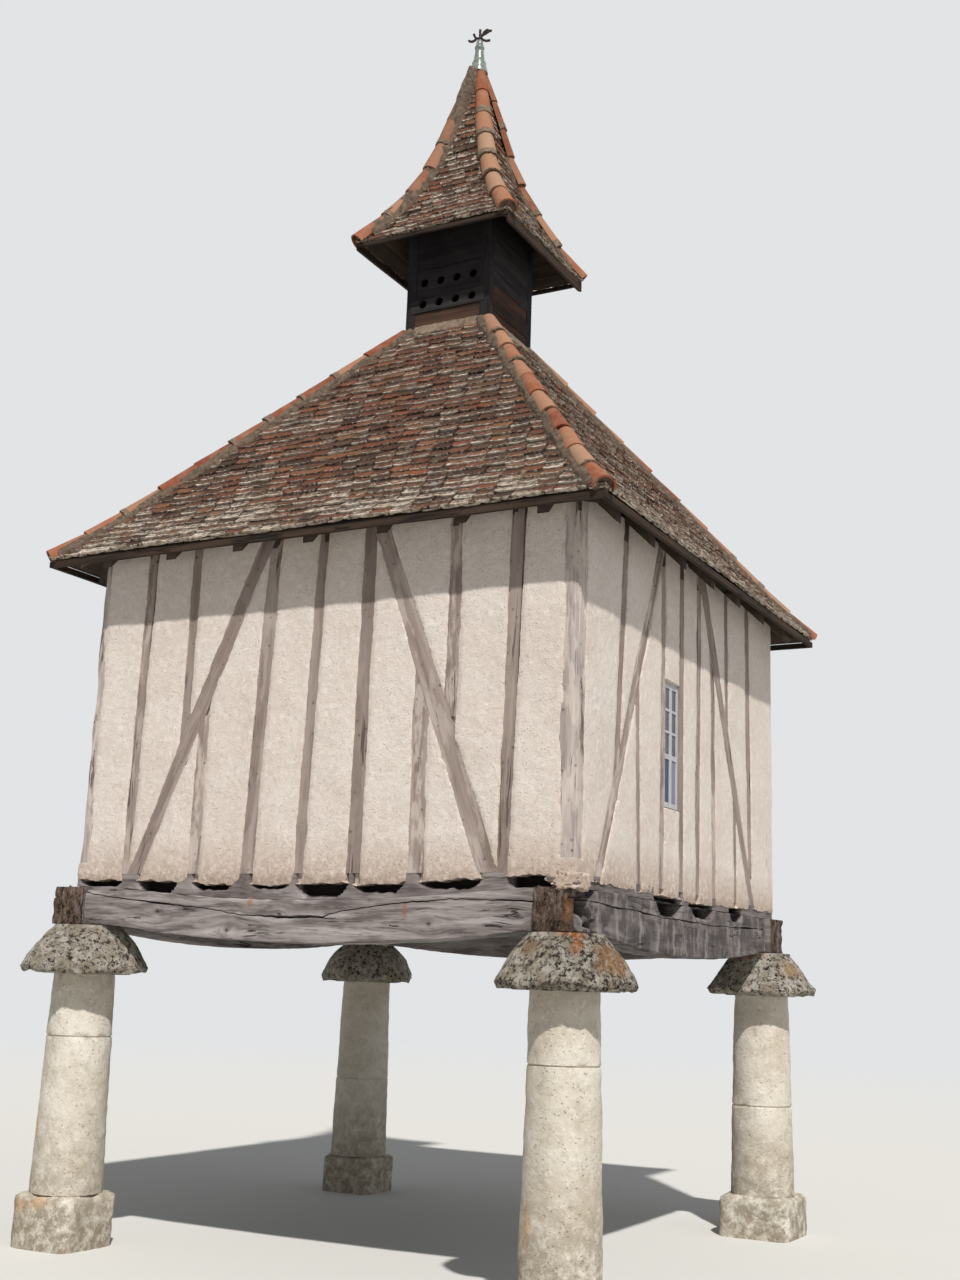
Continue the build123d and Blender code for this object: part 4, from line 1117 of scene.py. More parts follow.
def beam_part(side, start, end, outer, sag, crack, seed, cell, tone):
    """One bellied beam; along the wall from start to end, with an open crack along its face."""
    rows = beam_cell_rows

    def rule(point):
        along, deep, row = point.x, point.y, round(point.z * rows)
        height = beam_height(row, along, crack, sag, seed)
        out = outer - half_frame - deep
        face, back = deep < 0.001, deep > beam_width - 0.001
        spot = (along, height, seed)
        if face:
            out += waves(spot, (0.5, 0.009), (0.04, 0.003)) + 0.006 * soft((along, height * 4, seed), 0.3)
            out -= 0.002 + 0.005 * abs(soft((along * 0.2, height * 5, seed), 0.12))
            out -= 0.13 * decay(side, along, height, seed)
            if row > crack_row:
                out -= 0.008
            elif row == crack_row:
                out -= 0.02 + 0.04 * max(0.0, 0.4 + soft((along, 0, seed), 0.5))
            if not sag:
                out -= 0.12 * hollowed(side, along, height, seed)
        across = (along, deep, seed)
        if row in (0, rows):
            if face or back:
                out += (-1 if face else 1) * max(0.004, 0.022 * (0.55 + soft(across, 0.3)))
            height += (1 if row == 0 else -1) * (0.004 + 0.009 * abs(soft(across, 0.15)))
        if row == rows:
            near_end = max(0.0, 1 - min(along - start, end - along) / 0.14)
            height -= 0.05 * near_end * (0.5 + soft(across, 0.07))
        if back:
            out -= 0.004 * soft(spot, 0.3)
        for cut, inward in ((start, 1), (end, -1)):
            if abs(along - cut) < 1e-4:
                split = 0.016 * (soft((deep, height, seed), 0.06) + soft((deep, 0, seed), 0.035))
                along += inward * max(0.0, 0.012 + split)
        return on_wall(side, along, height, out)

    columns = round((end - start) / cell)
    part = block((start, 0, 0), (end, beam_width, 1), (columns, 10, rows - 1), along=0)
    flat = part["points"]
    part["edge"] = [float(min(abs(point.x - start), abs(point.x - end)) < 1e-4) for point in flat]
    part["points"] = [rule(point) for point in flat]
    part["grain"], part["tint"] = [], []
    for before, after in zip(flat, part["points"]):
        height, dark, face = after.z, tone, before.y < 0.001
        for x, z, size in knots.get(side, ()):
            away = ((before.x - x) / 1.6) ** 2 + (after.z - z) ** 2
            height -= (after.z - z) * 0.8 * 2.718 ** (-away / size**2)
            dark = max(dark, 1.9 - 90 * sqrt(away)) if face else dark
        if face:
            in_crack = round(before.z * rows) == crack_row
            # Painted shade: the rotted hollows are painted dark for the shade inside them, over wood
            # darkened by rot, and the rotten notch at the right beam's end is painted dark as shade (three
            # times its decay).
            rot = 0.0 if sag else 2.0 * hollowed(side, before.x, after.z, seed)
            dark = max(dark, 1.9 * in_crack, 3.0 * decay(side, before.x, after.z, seed), rot)
        part["grain"].append(Vector((before.x + seed, before.y, height)))
        part["tint"].append(dark)
    return part


for side, outer, sag, crack, seed, cell, tone in (
    ("front", 1.93, beam_sag, front_crack, 11.0, 0.014, 0.1),
    ("right", 1.93, 0.0, plain_crack, 23.0, 0.014, 1.08),
    ("rear", 1.93, beam_sag, plain_crack, 37.0, 0.03, 0.4),
    ("left", 2.07, 0.0, plain_crack, 51.0, 0.03, 0.4),
):
    ends = sorted(corner.dot(walls[side][1]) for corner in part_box(f"{side}_sole_beam"))
    part = beam_part(side, *ends, outer, sag, crack, seed, cell, tone)
    new_piece(f"{side}_beam", [part], beam_oak, "old_oak", f"{side}_sole_beam")

# %% Sill plates and the lump of plaster on their corner


def sill_part(side, reach, sag, seed, tone):
    """A sill between the beam and the plaster, with hollows scooped in its face and painted shade in them.
    """

    def rule(point):
        along, deep = point.x, point.y
        height = lerp(beam_top - sag * belly(along) - 0.004, sill_top, point.z)
        out = 0.004 - deep
        if deep < 0.001:
            out += 0.006 * soft((along, height, seed), 0.2) + 0.003 * soft((along, height * 2, seed), 0.06)
            out -= 0.1 * hollowed(side, along, height, seed)
        return on_wall(side, along, height, out)

    cuts = (round(2 * reach / 0.02), 2, 13)
    part = regrain(block((-reach, 0, 0), (reach, wall_thickness, 1), cuts, along=0), 1, 1, 0.12)
    flat = part["points"]
    part["points"] = [rule(point) for point in flat]
    part["edge"] = [0.0] * len(flat)
    depths = [half_frame - point.dot(walls[side][0]) for point in part["points"]]
    # Painted shade: the face is painted darker the deeper it sits behind the sill's front, up to the crack's
    # colour, so the scooped hollows read dark under the plaster's lip.
    part["tint"] = [
        min(2.0, tone + max(0.0, depth - 0.015) * 40) if point.y < 0.001 else tone
        for point, depth in zip(flat, depths)
    ]
    return part


inner_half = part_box("side_sill_plates")[1].y
long_sills = [
    sill_part(side, half_frame, beam_sag, seed, 0.6) for side, seed in (("front", 61.0), ("rear", 67.0))
]
new_piece("long_sills", long_sills, beam_oak, "old_oak", "front_and_rear_sill_plates")
short_sills = [sill_part("right", inner_half, 0.0, 71.0, 0.8), sill_part("left", inner_half, 0.0, 73.0, 0.6)]
new_piece("side_sills", short_sills, beam_oak, "old_oak", "side_sill_plates")

shape = bmesh.new()
bmesh.ops.create_icosphere(shape, subdivisions=5, radius=1.0)
layer = shape.verts.layers.float.new("edge")
for vert in shape.verts:
    way = vert.co.copy()
    lump = 1 + 0.35 * soft(way, 0.6, 8.0) + 0.3 * soft(way, 0.25, 9.0) + 0.16 * soft(way, 0.1, 9.5)
    spot = Vector((way.x * 0.125, way.y * 0.125, way.z * 0.055)) * lump + Vector((1.87, -1.86, 2.4))
    vert.co = Vector((min(spot.x, 1.96), max(spot.y, -1.96), spot.z))
    vert[layer] = 1.0
new_piece("plaster_lump", [take(shape)], plaster, "plaster", "front_infill", sharp=60)

# %% [markdown]
# ## Pillars
# A shaft is turned from two drums with a fine joint, so its outline is spun about its axis and
# then pitted by noise. The caps are roughly dressed domes with a ragged rim. The square bases are
# blocks with worn corners.

# %% Pillars
drum_joint = {"front_left": 1.358, "front_right": 1.358, "rear_right": 0.95, "rear_left": 0.95}
cap_swell = {"front_left": 0.026, "front_right": 0.019, "rear_right": 0.01, "rear_left": 0.036}
shaft_top_radius = 0.21
joint_depth = 0.009
shoulder = 0.04
base_rounding = 0.1


def spun(profile, centre, steps, rule, row):
    """Spins an outline of (radius, height) points about an upright axis and bends the result."""
    shape = bmesh.new()
    verts = [shape.verts.new((radius, 0.0, height)) for radius, height in profile]
    edges = [shape.edges.new(pair) for pair in zip(verts, verts[1:])]
    for edge in edges:
        cuts = max(0, round(edge.calc_length() / row) - 1)
        if cuts:
            bmesh.ops.subdivide_edges(shape, edges=[edge], cuts=cuts)
    bmesh.ops.spin(shape, geom=shape.verts[:] + shape.edges[:], axis=(0, 0, 1), cent=(0, 0, 0),
                   angle=2 * pi, steps=steps, use_merge=True)
    bmesh.ops.remove_doubles(shape, verts=shape.verts, dist=1e-4)
    for vert in shape.verts:
        vert.co = rule(vert.co.copy())
    bmesh.ops.translate(shape, vec=centre, verts=shape.verts)
    return take(shape)


def pushed(point, push):
    """A point moved away from the upright axis."""
    times = 1 + push / point.xy.length
    return Vector((point.x * times, point.y * times, point.z))


def shaft_part(low, high, joint, key):
    """A round shaft with the groove of its drum joint."""
    foot_radius = (high.x - low.x) / 2

    def rule(point):
        if point.xy.length < 0.02:
            return point
        swell = waves(point, (0.5, 0.006), (0.12, 0.005), (0.045, 0.0035), seed=key)
        return pushed(point, swell - 0.012 * max(0.0, soft(point, 0.07, key + 3) - 0.42))

    girth = lerp(shaft_top_radius, foot_radius, (high.z - joint) / (high.z - low.z)) - 0.004
    profile = [
        (0, low.z), (foot_radius - 0.006, low.z), (girth, joint - 0.007),
        (girth - joint_depth, joint - 0.002), (girth - joint_depth, joint + 0.002),
        (girth, joint + 0.007), (shaft_top_radius - 0.004, high.z), (0, high.z),
    ]
    return spun(profile, ((low.x + high.x) / 2, (low.y + high.y) / 2, 0), 84, rule, 0.026)


def cap_part(low, high, centre, swell, key):
    """A mushroom cap: a bulging side, a flat top and a ragged rim."""
    lip_radius = (high.x - low.x) / 2

    def rule(point):
        radius = point.xy.length
        if radius < 0.05:
            return point
        below = 1 - min(1.0, (point.z - low.z) / 0.12)
        spot = point.copy()
        if point.z < low.z + 0.11 and radius > 0.3:
            spot.z += below * (0.016 + waves(point, (0.17, 0.034), (0.05, 0.016), seed=key))
        if point.z < high.z - 0.004 and radius > 0.22:
            push = waves(point, (0.2, 0.012), (0.06, 0.009), (0.03, 0.004), seed=key)
            push -= 0.014 + 0.02 * below * max(0.0, soft(point, 0.08, key + 5))
            times = 1 + push / radius
            spot.x *= times
            spot.y *= times
        spot.z = max(spot.z, low.z)
        return spot

    foot, head = Vector((lip_radius, low.z + 0.034)), Vector((0.228, high.z))
    normal = Vector((head.y - foot.y, foot.x - head.x)).normalized()
    shares = [step / 8 for step in range(9)]
    bulge = [tuple(foot.lerp(head, share) + normal * swell * 4 * share * (1 - share)) for share in shares]
    profile = [(0, low.z), (0.2, low.z), (lip_radius - 0.012, low.z), *bulge, (0, high.z)]
    return spun(profile, centre, 96, rule, 0.02)


def base_part(low, high, key):
    """A square base with rounded corners and a worn shoulder."""
    middle, half = (low + high) / 2, (high - low) / 2

    def rule(point):
        spot = point - middle
        climb = max(0.0, spot.z - half.z + shoulder)
        reach = base_rounding - shoulder + sqrt(max(0.0, shoulder**2 - climb**2))
        inner = [h - base_rounding for h in half.xy]
        core = Vector([max(-h, min(h, s)) for s, h in zip(spot.xy, inner)])
        off = spot.xy - core
        if off.length > reach:
            off *= reach / off.length
        spot = Vector((*(core + off), spot.z))
        spot += wander(point, 0.22, 0.014, key) + wander(point, 0.06, 0.008, key)
        spot = Vector([max(-h, min(h, s)) for s, h in zip(spot, half)])
        if point.z < low.z + 1e-4:
            spot.z = -half.z
        return spot + middle

    return block(low, high, [max(6, round(2 * h / 0.026)) for h in half], rule)


for number, (name, joint) in enumerate(drum_joint.items()):
    key = 100.0 + 9 * number
    low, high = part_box(f"{name}_pillar_shaft")
    centre = ((low.x + high.x) / 2, (low.y + high.y) / 2, 0)
    shaft = shaft_part(low, high, joint, key)
    new_piece(f"{name}_shaft", [shaft], pillar_stone, "pillar_stone", f"{name}_pillar_shaft", sharp=60)
    cap = cap_part(*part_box(f"{name}_pillar_cap"), centre, cap_swell[name], key)
    new_piece(f"{name}_cap", [cap], cap_stone, "cap_stone", f"{name}_pillar_cap", sharp=70)
    base = base_part(*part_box(f"{name}_pillar_base"), key)
    new_piece(f"{name}_base", [base], pillar_stone, "pillar_stone", f"{name}_pillar_base", sharp=70)

# %% [markdown]
# ## Laying tiles
# A roof like this needs thousands of tiles, so one small tile is made in a few chipped variants
# and laid row by row on the roof's outline. Each lower edge rests on the row below, which tilts
# every tile a little, and small random turns and slips make the coursing uneven. The rows are cut
# along the hips, where the round tiles cover the cut.

# %% Tile variants and rows
Tile = namedtuple("Tile", "width length thickness gauge bare_top variants")


def tile_variants(width, length, thickness, seed):
    """Flat tiles with chipped lower edges: points, faces and how near each point is to the foot."""
    made = []
    for index in range(7):
        shape = cube((-width / 2, 0, 0), (width / 2, length, thickness), (4, 0, 0))
        for vert in shape.verts:
            x, toe = vert.co.x, vert.co.y < 0.01
            if toe:
                broken = abs(x) > 0.45 * width and soft((x, index, 3), 0.4, seed) > 0.05
                vert.co.y += 0.004 + 0.009 * soft((x, index, 0), 0.03, seed) + (0.012 if broken else 0.0)
                if vert.co.z > 0.001:
                    vert.co.y += 0.002
                vert.co.z += 0.9 * x**2 + 0.002 * soft((x, index, 7), 0.05)
            else:
                vert.co.z += 0.45 * x**2
        part = take(shape)
        points = np.array([tuple(point) for point in part["points"]])
        made.append((points, part["faces"], np.clip(1 - points[:, 1] / length, 0, 1)))
    return made


def lengths_along(points):
    """How far along a chain of points each of them lies."""
    marks = [0.0]
    for first, second in zip(points, points[1:]):
        marks.append(marks[-1] + (second - first).length)
    return marks


def stretch_of(marks, distance):
    """Which stretch of the chain a distance falls in."""
    return max(index for index, mark in enumerate(marks[:-1]) if mark <= distance + 1e-9)


class Slope:
    """A roof's outline as a chain of points out from the axis, measured by length up the slope."""

    def __init__(self, outline):
        self.points = [Vector(point) for point in outline]
        self.marks = lengths_along(self.points)
        self.length = self.marks[-1]

    def at(self, distance, under=0.0):
        """Run and height at a distance up the slope, sunk under the surface."""
        index = stretch_of(self.marks, min(max(distance, 0.0), self.length))
        way = (self.points[index + 1] - self.points[index]).normalized()
        return self.points[index] + way * (distance - self.marks[index]) - Vector((way.y, -way.x)) * under

    def hip(self, runs, corner):
        """Points up a hip at given runs out from the axis."""
        table = [-point.x for point in self.points], [point.y for point in self.points]
        heights = np.interp([-run for run in runs], *table)
        return [Vector((corner[0] * run, corner[1] * run, height)) for run, height in zip(runs, heights)]


def on_slope(side, spot, along=0.0):
    """A point given by its run out from the axis, its height, and its place along the wall."""
    outward, rightward = walls[side]
    return outward * spot.x + Vector((0, 0, spot.y)) + rightward * along


def hip_planes(side, setback):
    """The two upright planes through a slope's hips."""
    outward, rightward = walls[side]
    normals = [(rightward * turn - outward).normalized() for turn in (1, -1)]
    return [(normal * -setback, normal) for normal in normals]


def lay_tiles(side, slope, tile):
    """The tiles of one slope from the eaves up, over a short first course under the lowest row."""
    rightward = walls[side][1]
    width, length, thickness = tile.width, tile.length, tile.thickness
    rows = int((slope.length - tile.bare_top) / tile.gauge)
    courses = [(-0.006, 0.55 * length, 2.1 * thickness, 3.1 * thickness)]
    courses += [(-0.012 + row * tile.gauge, length, thickness, 3.0 * thickness) for row in range(rows)]
    wave_key = 11.0 * list(walls).index(side)
    parts = []
    for row, (distance, reach, foot_under, head_under) in enumerate(courses):
        half_width = slope.at(distance).x + width
        offset = (row % 2) * width / 2 + luck.uniform(-0.015, 0.015)
        sway = luck.uniform(-0.004, 0.004)
        for index in range(int(2 * half_width / width) + 2):
            along = -half_width + index * width + offset
            slip = luck.gauss(0.0, 0.005) + 0.013 * soft((along, distance, 0), 0.5, 17.0) + sway
            if row < 2:
                slip *= 0.4
            lift = 0.0 if row == 0 else luck.uniform(-0.003, 0.004)
            foot_wave = 0.012 * soft((along, distance, wave_key), 0.8)
            head_wave = 0.012 * soft((along, distance + reach, wave_key), 0.8)
            foot = slope.at(distance + slip, foot_under - foot_wave - lift)
            head = slope.at(distance + slip + reach, head_under - head_wave)
            if head.x < 0.02:
                continue
            base = on_slope(side, foot, along + luck.uniform(-0.004, 0.004))
            up = (on_slope(side, head) - on_slope(side, foot)).normalized()
            normal = rightward.cross(up).normalized()
            turn = Matrix.Rotation(luck.gauss(0.0, 0.02), 3, normal)
            twist = Matrix.Rotation(luck.gauss(0.0, 0.018), 3, up)
            axes = np.array([tuple(twist @ (turn @ axis)) for axis in (rightward, up, normal)])
            points, faces, toes = tile.variants[luck.randrange(len(tile.variants))]
            stretch = (luck.uniform(0.93, 0.995), reach / length, luck.uniform(0.85, 1.15))
            placed = (points * stretch) @ axes + np.array(tuple(base))
            chance = (luck.random(), luck.random(), luck.random())
            parts.append({"points": placed, "faces": faces, "chance": [chance] * len(placed), "edge": toes})
    return parts


# %% Main roof outline and tiles
eave_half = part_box("front_roof_slope")[1].x
lantern_half = -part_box("front_roof_slope")[1].y
head_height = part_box("front_roof_slope")[1].z
pitch = radians(50.7)
knee_run = eave_half - 0.28
knee_height = head_height - (knee_run - lantern_half) * tan(pitch)
main_slope = Slope([
    (eave_half, knee_height - 0.28),
    (knee_run, knee_height),
    (lantern_half - 0.1, head_height + 0.1 * tan(pitch)),
])
main_tile = Tile(0.145, 0.2, 0.013, 0.082, 0.17, tile_variants(0.145, 0.2, 0.013, 5.0))
for side in walls:
    tiles = sliced(lay_tiles(side, main_slope, main_tile), *hip_planes(side, 0.0))
    new_piece(f"{side}_roof_tiles", [tiles], plain_clay, "plain_tiles", f"{side}_roof_slope", sharp=30)

# %% [markdown]
# ## Roof boarding
# From below the eaves show dark boards under the tiles, on the rafters' feet. They are plain
# planks laid across the slope, so each is a block placed by the same outline as the tiles. An
# upright plank closes the eaves all round. The rafters, plates and joists are the CAD's own.

# %% Boards under the main roof


def board_slope(side, slope, width, top_under, thickness, bare_top, setback, seed):
    """Planks across a slope, cut to the hips."""
    parts = []
    distance, finish_at = 0.0, slope.length - bare_top
    while distance < finish_at:
        step = min(width * luck.uniform(0.85, 1.15), finish_at - distance)
        foot, head = slope.at(distance + 0.002, top_under), slope.at(distance + step - 0.002, top_under)
        reach = slope.at(distance).x + 0.05
        up = on_slope(side, head - foot)
        normal = walls[side][1].cross(up).normalized()

        def rule(point):
            sink = thickness * point.z - 0.0015 * soft(point, 0.6, seed + distance)
            return on_slope(side, foot, point.x) + up * point.y - normal * sink

        plank = block((-reach, 0, 0), (reach, 1, 1), (6, 0, 0), rule, along=0)
        parts.append(regrain(plank, 1, step, thickness))
        distance += step
    return sliced(parts, *hip_planes(side, setback))


def eaves_plank(side, run, low, high, thickness, seed):
    """The upright plank that closes the eaves on one side, cut to the hips."""

    def rule(point):
        height = point.z + 0.004 * soft((point.x, 0, 0), 0.5, seed)
        return on_wall(side, point.x, height, run - half_frame - point.y)

    plank = block((-run, 0, low), (run, thickness, high), (40, 0, 1), rule, along=0, tint=0.2)
    return sliced([plank], *hip_planes(side, 0.0))


for side in walls:
    boards = board_slope(side, main_slope, 0.16, 0.041, 0.02, 0.16, 0.002, 3.0)
    new_piece(f"{side}_roof_boards", [boards], softwood, "roof_wood", f"{side}_roof_slope")
eaves_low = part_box("front_roof_slope")[0].z + 0.002
planks = [eaves_plank(side, eave_half - 0.006, eaves_low, eaves_low + 0.041, 0.03, 4.0) for side in walls]
new_piece("eaves_boards", planks, eaves_wood, "roof_wood", *[f"{side}_roof_slope" for side in walls])
keep(rafter_wood, "hip_rafters", "common_rafters", "front_and_rear_wall_plates", "side_wall_plates",
     "lantern_rails")
keep(joist_wood, "floor_joists")

# %% [markdown]
# ## Hip tiles
# Tapered half-round tiles ride on each hip, every foot over the head of the tile below. One tile
# is a small rectangle spun through most of a circle. Ragged strips of brown mortar run beside the
# tiles on both faces, some laps are pointed with a collar of mortar, and a plug of mortar fills
# the mouth of the lowest tile.

# %% Hip tiles and their bedding


def hip_tile_shape(foot_radius, head_radius, length, thickness):
    """A tapered half-round tile along +Z, as points and faces."""
    half_angle = radians(100)
    shape = bmesh.new()
    bmesh.ops.create_grid(shape, x_segments=1, y_segments=5, size=0.5)
    for vert in shape.verts:
        share = vert.co.y + 0.5
        radius = lerp(foot_radius, head_radius, share) - (thickness if vert.co.x < 0 else 0.0)
        vert.co = Vector((radius, 0.0, share * length))
    turn = Matrix.Rotation(-half_angle, 3, "Z")
    bmesh.ops.rotate(shape, verts=shape.verts, cent=(0, 0, 0), matrix=turn)
    bmesh.ops.spin(shape, geom=shape.verts[:] + shape.edges[:] + shape.faces[:], axis=(0, 0, 1),
                   cent=(0, 0, 0), angle=2 * half_angle, steps=16)
    bmesh.ops.remove_doubles(shape, verts=shape.verts, dist=1e-5)
    part = take(shape)
    return np.array([tuple(point) for point in part["points"]]), part["faces"]


def mouth_plug(radius):
    """A rough plug of mortar for the mouth of a hip's lowest tile, as points and faces."""
    shape = bmesh.new()
    bmesh.ops.create_cone(shape, cap_ends=True, segments=20, radius1=radius, radius2=radius - 0.002,
                          depth=0.12)
    bmesh.ops.translate(shape, vec=(0, 0, 0.095), verts=shape.verts)
    part = take(shape)
    points = [tuple(point + wander(point, 0.03, 0.006)) for point in part["points"]]
    return np.array(points), part["faces"]


def hip_axes(foot, head, corner):
    """Axes of a hip tile: its crown points out and up, its length up the hip."""
    up = (head - foot).normalized()
    out = Vector((*corner, 0)).normalized()
    crown = (out - up * out.dot(up)).normalized()
    return crown, up.cross(crown), up


def hip_run(points, corner, radii, lap, sink, seed, tones):
    """The tiles of one hip, and the mortar in some of their laps and in the lowest mouth."""
    tiles, laps = [], []
    for index, (foot, head) in enumerate(zip(points, points[1:])):
        foot_radius, head_radius = radii[min(index, len(radii) - 1)]
        axes = hip_axes(foot, head, corner)
        sway = Matrix.Rotation(luck.gauss(0, 0.025), 3, axes[0])
        sway = sway @ Matrix.Rotation(luck.gauss(0, 0.012), 3, axes[1])
        axes = np.array([tuple(sway @ axis) for axis in axes])
        place = np.array(tuple(foot)) - axes[0] * sink
        girth = luck.uniform(0.94, 1.0)
        shape, faces = hip_tile_shape(foot_radius, head_radius, (head - foot).length + lap, 0.013)
        ripple = np.array([1 + 0.05 * soft(point, 0.08, seed + index) for point in shape])
        shape[:, :2] *= (girth * np.minimum(ripple, 1.0))[:, None]
        chance = [luck.random(), luck.random(), luck.random()]
        if tones:
            chance[0] = tones[index % len(tones)] + 0.06 * (chance[0] - 0.5)
        tiles.append({"points": shape @ axes + place, "faces": faces, "chance": [chance] * len(shape)})
        if index and luck.random() < 0.5:
            wide = luck.uniform(0.02, 0.065)
            ring, faces = hip_tile_shape(foot_radius + 0.003, foot_radius - 0.001, wide, 0.016)
            uneven = np.array([soft(point, 0.03, seed + index) for point in ring])
            ring[:, 2] += 0.016 * uneven - 0.2 * wide
            ring[:, :2] *= (girth * (1 + 0.03 * uneven))[:, None]
            laps.append({"points": ring @ axes + place, "faces": faces})
        elif not index:
            plug, faces = mouth_plug(foot_radius - 0.012)
            plug[:, :2] *= girth * 0.97
            laps.append({"points": plug @ axes + place, "faces": faces})
    return tiles, laps


def hip_bed(points, corner, near, wide, seed, heap=0.0):
    """Strips of mortar beside one hip's tiles, ragged at the outer edge; heap covers the first."""
    marks = lengths_along(points)
    strips = []
    for turn, away in enumerate((Vector((-corner[0], 0, 0)), Vector((0, -corner[1], 0)))):
        heaped = heap and not turn
        inner = 0.03 if heaped else near
        shape = bmesh.new()
        rows = max(8, round(marks[-1] / 0.024))
        bmesh.ops.create_grid(shape, x_segments=6, y_segments=rows, size=1.0)
        for vert in shape.verts:
            share, way = (vert.co.x + 1) / 2, (vert.co.y + 1) / 2 * marks[-1]
            index = stretch_of(marks, way)
            up = (points[index + 1] - points[index]).normalized()
            spot = points[index] + up * (way - marks[index])
            aside = (away - up * up.dot(away)).normalized()
            normal = up.cross(aside)
            normal = normal if normal.z > 0 else -normal
            edge = wide + waves((way, turn, seed), (0.18, 0.034), (0.05, 0.024))
            edge = min(edge, 0.02 + 1.3 * abs(spot.x))
            lift = 0.018 - 0.02 * share**2 - (0.02 if share > 0.9 else 0.0)
            lift += 0.004 * soft((way, share * 0.1, seed + turn), 0.04)
            if heaped:
                swell = 0.55 + 0.3 * soft((way, share * 0.1, seed), 0.1)
                swell += 0.6 * min(1.0, max(0.0, way / marks[-1] - 0.7) * 8)
                lift += heap * (1 - share) * swell
            vert.co = spot + aside * lerp(inner, edge, share) + normal * lift
            vert.co.z = min(vert.co.z, points[-1].z - 0.004)
        bmesh.ops.solidify(shape, geom=shape.faces[:], thickness=-0.02)
        strips.append(take(shape))
    return strips


kerb_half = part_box("lantern_kerb")[1].x
hip_top = kerb_half + 0.005
main_runs = [lerp(eave_half, hip_top, index / 10) for index in range(11)]
near_tones = (0.15, 0.95, 0.35, 0.03, 0.52, 0.22, 0.6, 0.3, 0.47, 0.9)
tiles, laps, beds = [], [], []
for number, corner in enumerate(corners):
    tones = near_tones if corner == (1, -1) else ()
    points = main_slope.hip(main_runs, corner)
    made = hip_run(points, corner, [(0.075, 0.06)], 0.06, 0.028, 10.0 * number, tones)
    tiles += made[0]
    laps += made[1]
    bed_points = main_slope.hip((eave_half - 0.03, knee_run, hip_top - 0.05), corner)
    beds += hip_bed(bed_points, corner, 0.045, 0.112, 80.0 + number)
new_piece("hip_tile_run", tiles, hip_clay, "hip_tiles", "main_hip_tiles", sharp=50)
new_piece("hip_lap_mortar", laps, lap_mortar, "mortar", "main_hip_tiles", sharp=60)
new_piece("hip_bedding", beds, mortar, "mortar", "main_hip_tiles", sharp=60)

# %% [markdown]
# ## Lantern
# The lantern is a small boarded box: four posts, wide level boards, and two rows of round holes in
# the front ones. A board with holes is an outline and some circles filled with faces and pulled
# thick, because that leaves clean round edges. The lowest boards are brown and the others grey.
# The front's upper boards are darkened as painted shade under the lantern roof.

# %% Lantern boards
lantern_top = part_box("lantern_posts")[1].z
board_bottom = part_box("lantern_side_boards")[0].z
post_width = 0.08
board_thickness = 0.026
half_run = lantern_half - post_width / 2
holes = [((index - 1.5) * 0.148, head_height + level) for index in range(4) for level in (0.22, 0.41)]
lowest = board_bottom - head_height
# Each row: bottom, top, how far it stands out, tint and tone. The front's tints rise towards the top:
# painted shade under the lantern roof.
board_rows = {
    "front": (
        (lowest, 0.15, -0.006, 0.3, "brown"),
        (0.153, 0.287, 0.004, 0.0, "grey"),
        (0.286, 0.52, -0.006, 0.6, "grey"),
        (0.523, 0.72, -0.003, 0.95, "grey"),
        (0.723, 1.1, -0.006, 1.0, "grey"),
    ),
    "right": (
        (lowest, 0.1, -0.004, 0.5, "brown"),
        (0.103, 0.21, 0.0, 0.9, "brown"),
        (0.213, 0.33, -0.005, 0.4, "brown"),
        (0.333, 0.76, -0.001, 0.0, "grey"),
        (0.763, 1.1, -0.005, 0.9, "grey"),
    ),
}


def holed_board(side, low, high, out, holes, tint):
    """A level board on a lantern side, with round holes right through."""
    outward, rightward = walls[side]
    shape = bmesh.new()
    outline = ((-half_run, low), (half_run, low), (half_run, high), (-half_run, high))
    ring = [shape.verts.new((*spot, 0)) for spot in outline]
    edges = [shape.edges.new(pair) for pair in zip(ring, ring[1:] + ring[:1])]
    bmesh.ops.subdivide_edges(shape, edges=edges, cuts=9)
    for spot in holes:
        place = Matrix.Translation((*spot, 0))
        made = bmesh.ops.create_circle(shape, segments=28, radius=0.036, matrix=place)
        for vert in made["verts"]:
            vert.co += wander(vert.co, 0.03, 0.0015, spot[0])
    bmesh.ops.triangle_fill(shape, use_beauty=True, use_dissolve=False, edges=shape.edges[:])
    pulled = bmesh.ops.extrude_face_region(shape, geom=shape.faces[:])["geom"]
    lifted = [item for item in pulled if isinstance(item, bmesh.types.BMVert)]
    bmesh.ops.translate(shape, vec=(0, 0, board_thickness), verts=lifted)
    bmesh.ops.recalc_face_normals(shape, faces=shape.faces)
    part = take(shape)
    shift = Vector([luck.uniform(0, 40) for _ in range(3)])
    part["grain"] = [point + shift for point in part["points"]]
    part["tint"] = [tint] * len(part["points"])

    def rule(point):
        wave = 0.003 * soft((point.x, point.y, -half_run), 0.2)
        at_edge = min(abs(point.y - low), abs(point.y - high)) < 1e-4
        height = point.y + (0.004 * soft((point.x, 0, low * 9), 0.12) if at_edge else 0.0)
        run = lantern_half + out - board_thickness + point.z + wave
        return outward * run + rightward * point.x + Vector((0, 0, height))

    part["points"] = [rule(point) for point in part["points"]]
    return part


parts = {(pair, tone): [] for pair in board_rows for tone in ("brown", "grey")}
for side, pair in (("front", "front"), ("rear", "front"), ("right", "right"), ("left", "right")):
    for low, high, out, tint, tone in board_rows[pair]:
        bottom, top = head_height + low, min(head_height + high, lantern_top)
        if bottom < top:
            here = [spot for spot in holes if side == "front" and bottom < spot[1] < top]
            parts[pair, tone].append(holed_board(side, bottom, top, out, here, tint))
for pair, node in (("front", "lantern_front_and_rear_boards"), ("right", "lantern_side_boards")):
    for tone, finish in (("grey", board_wood_and_shade), ("brown", brown_wood)):
        new_piece(f"lantern_{tone}_{pair}_boards", parts[pair, tone], finish, "lantern_wood", node)

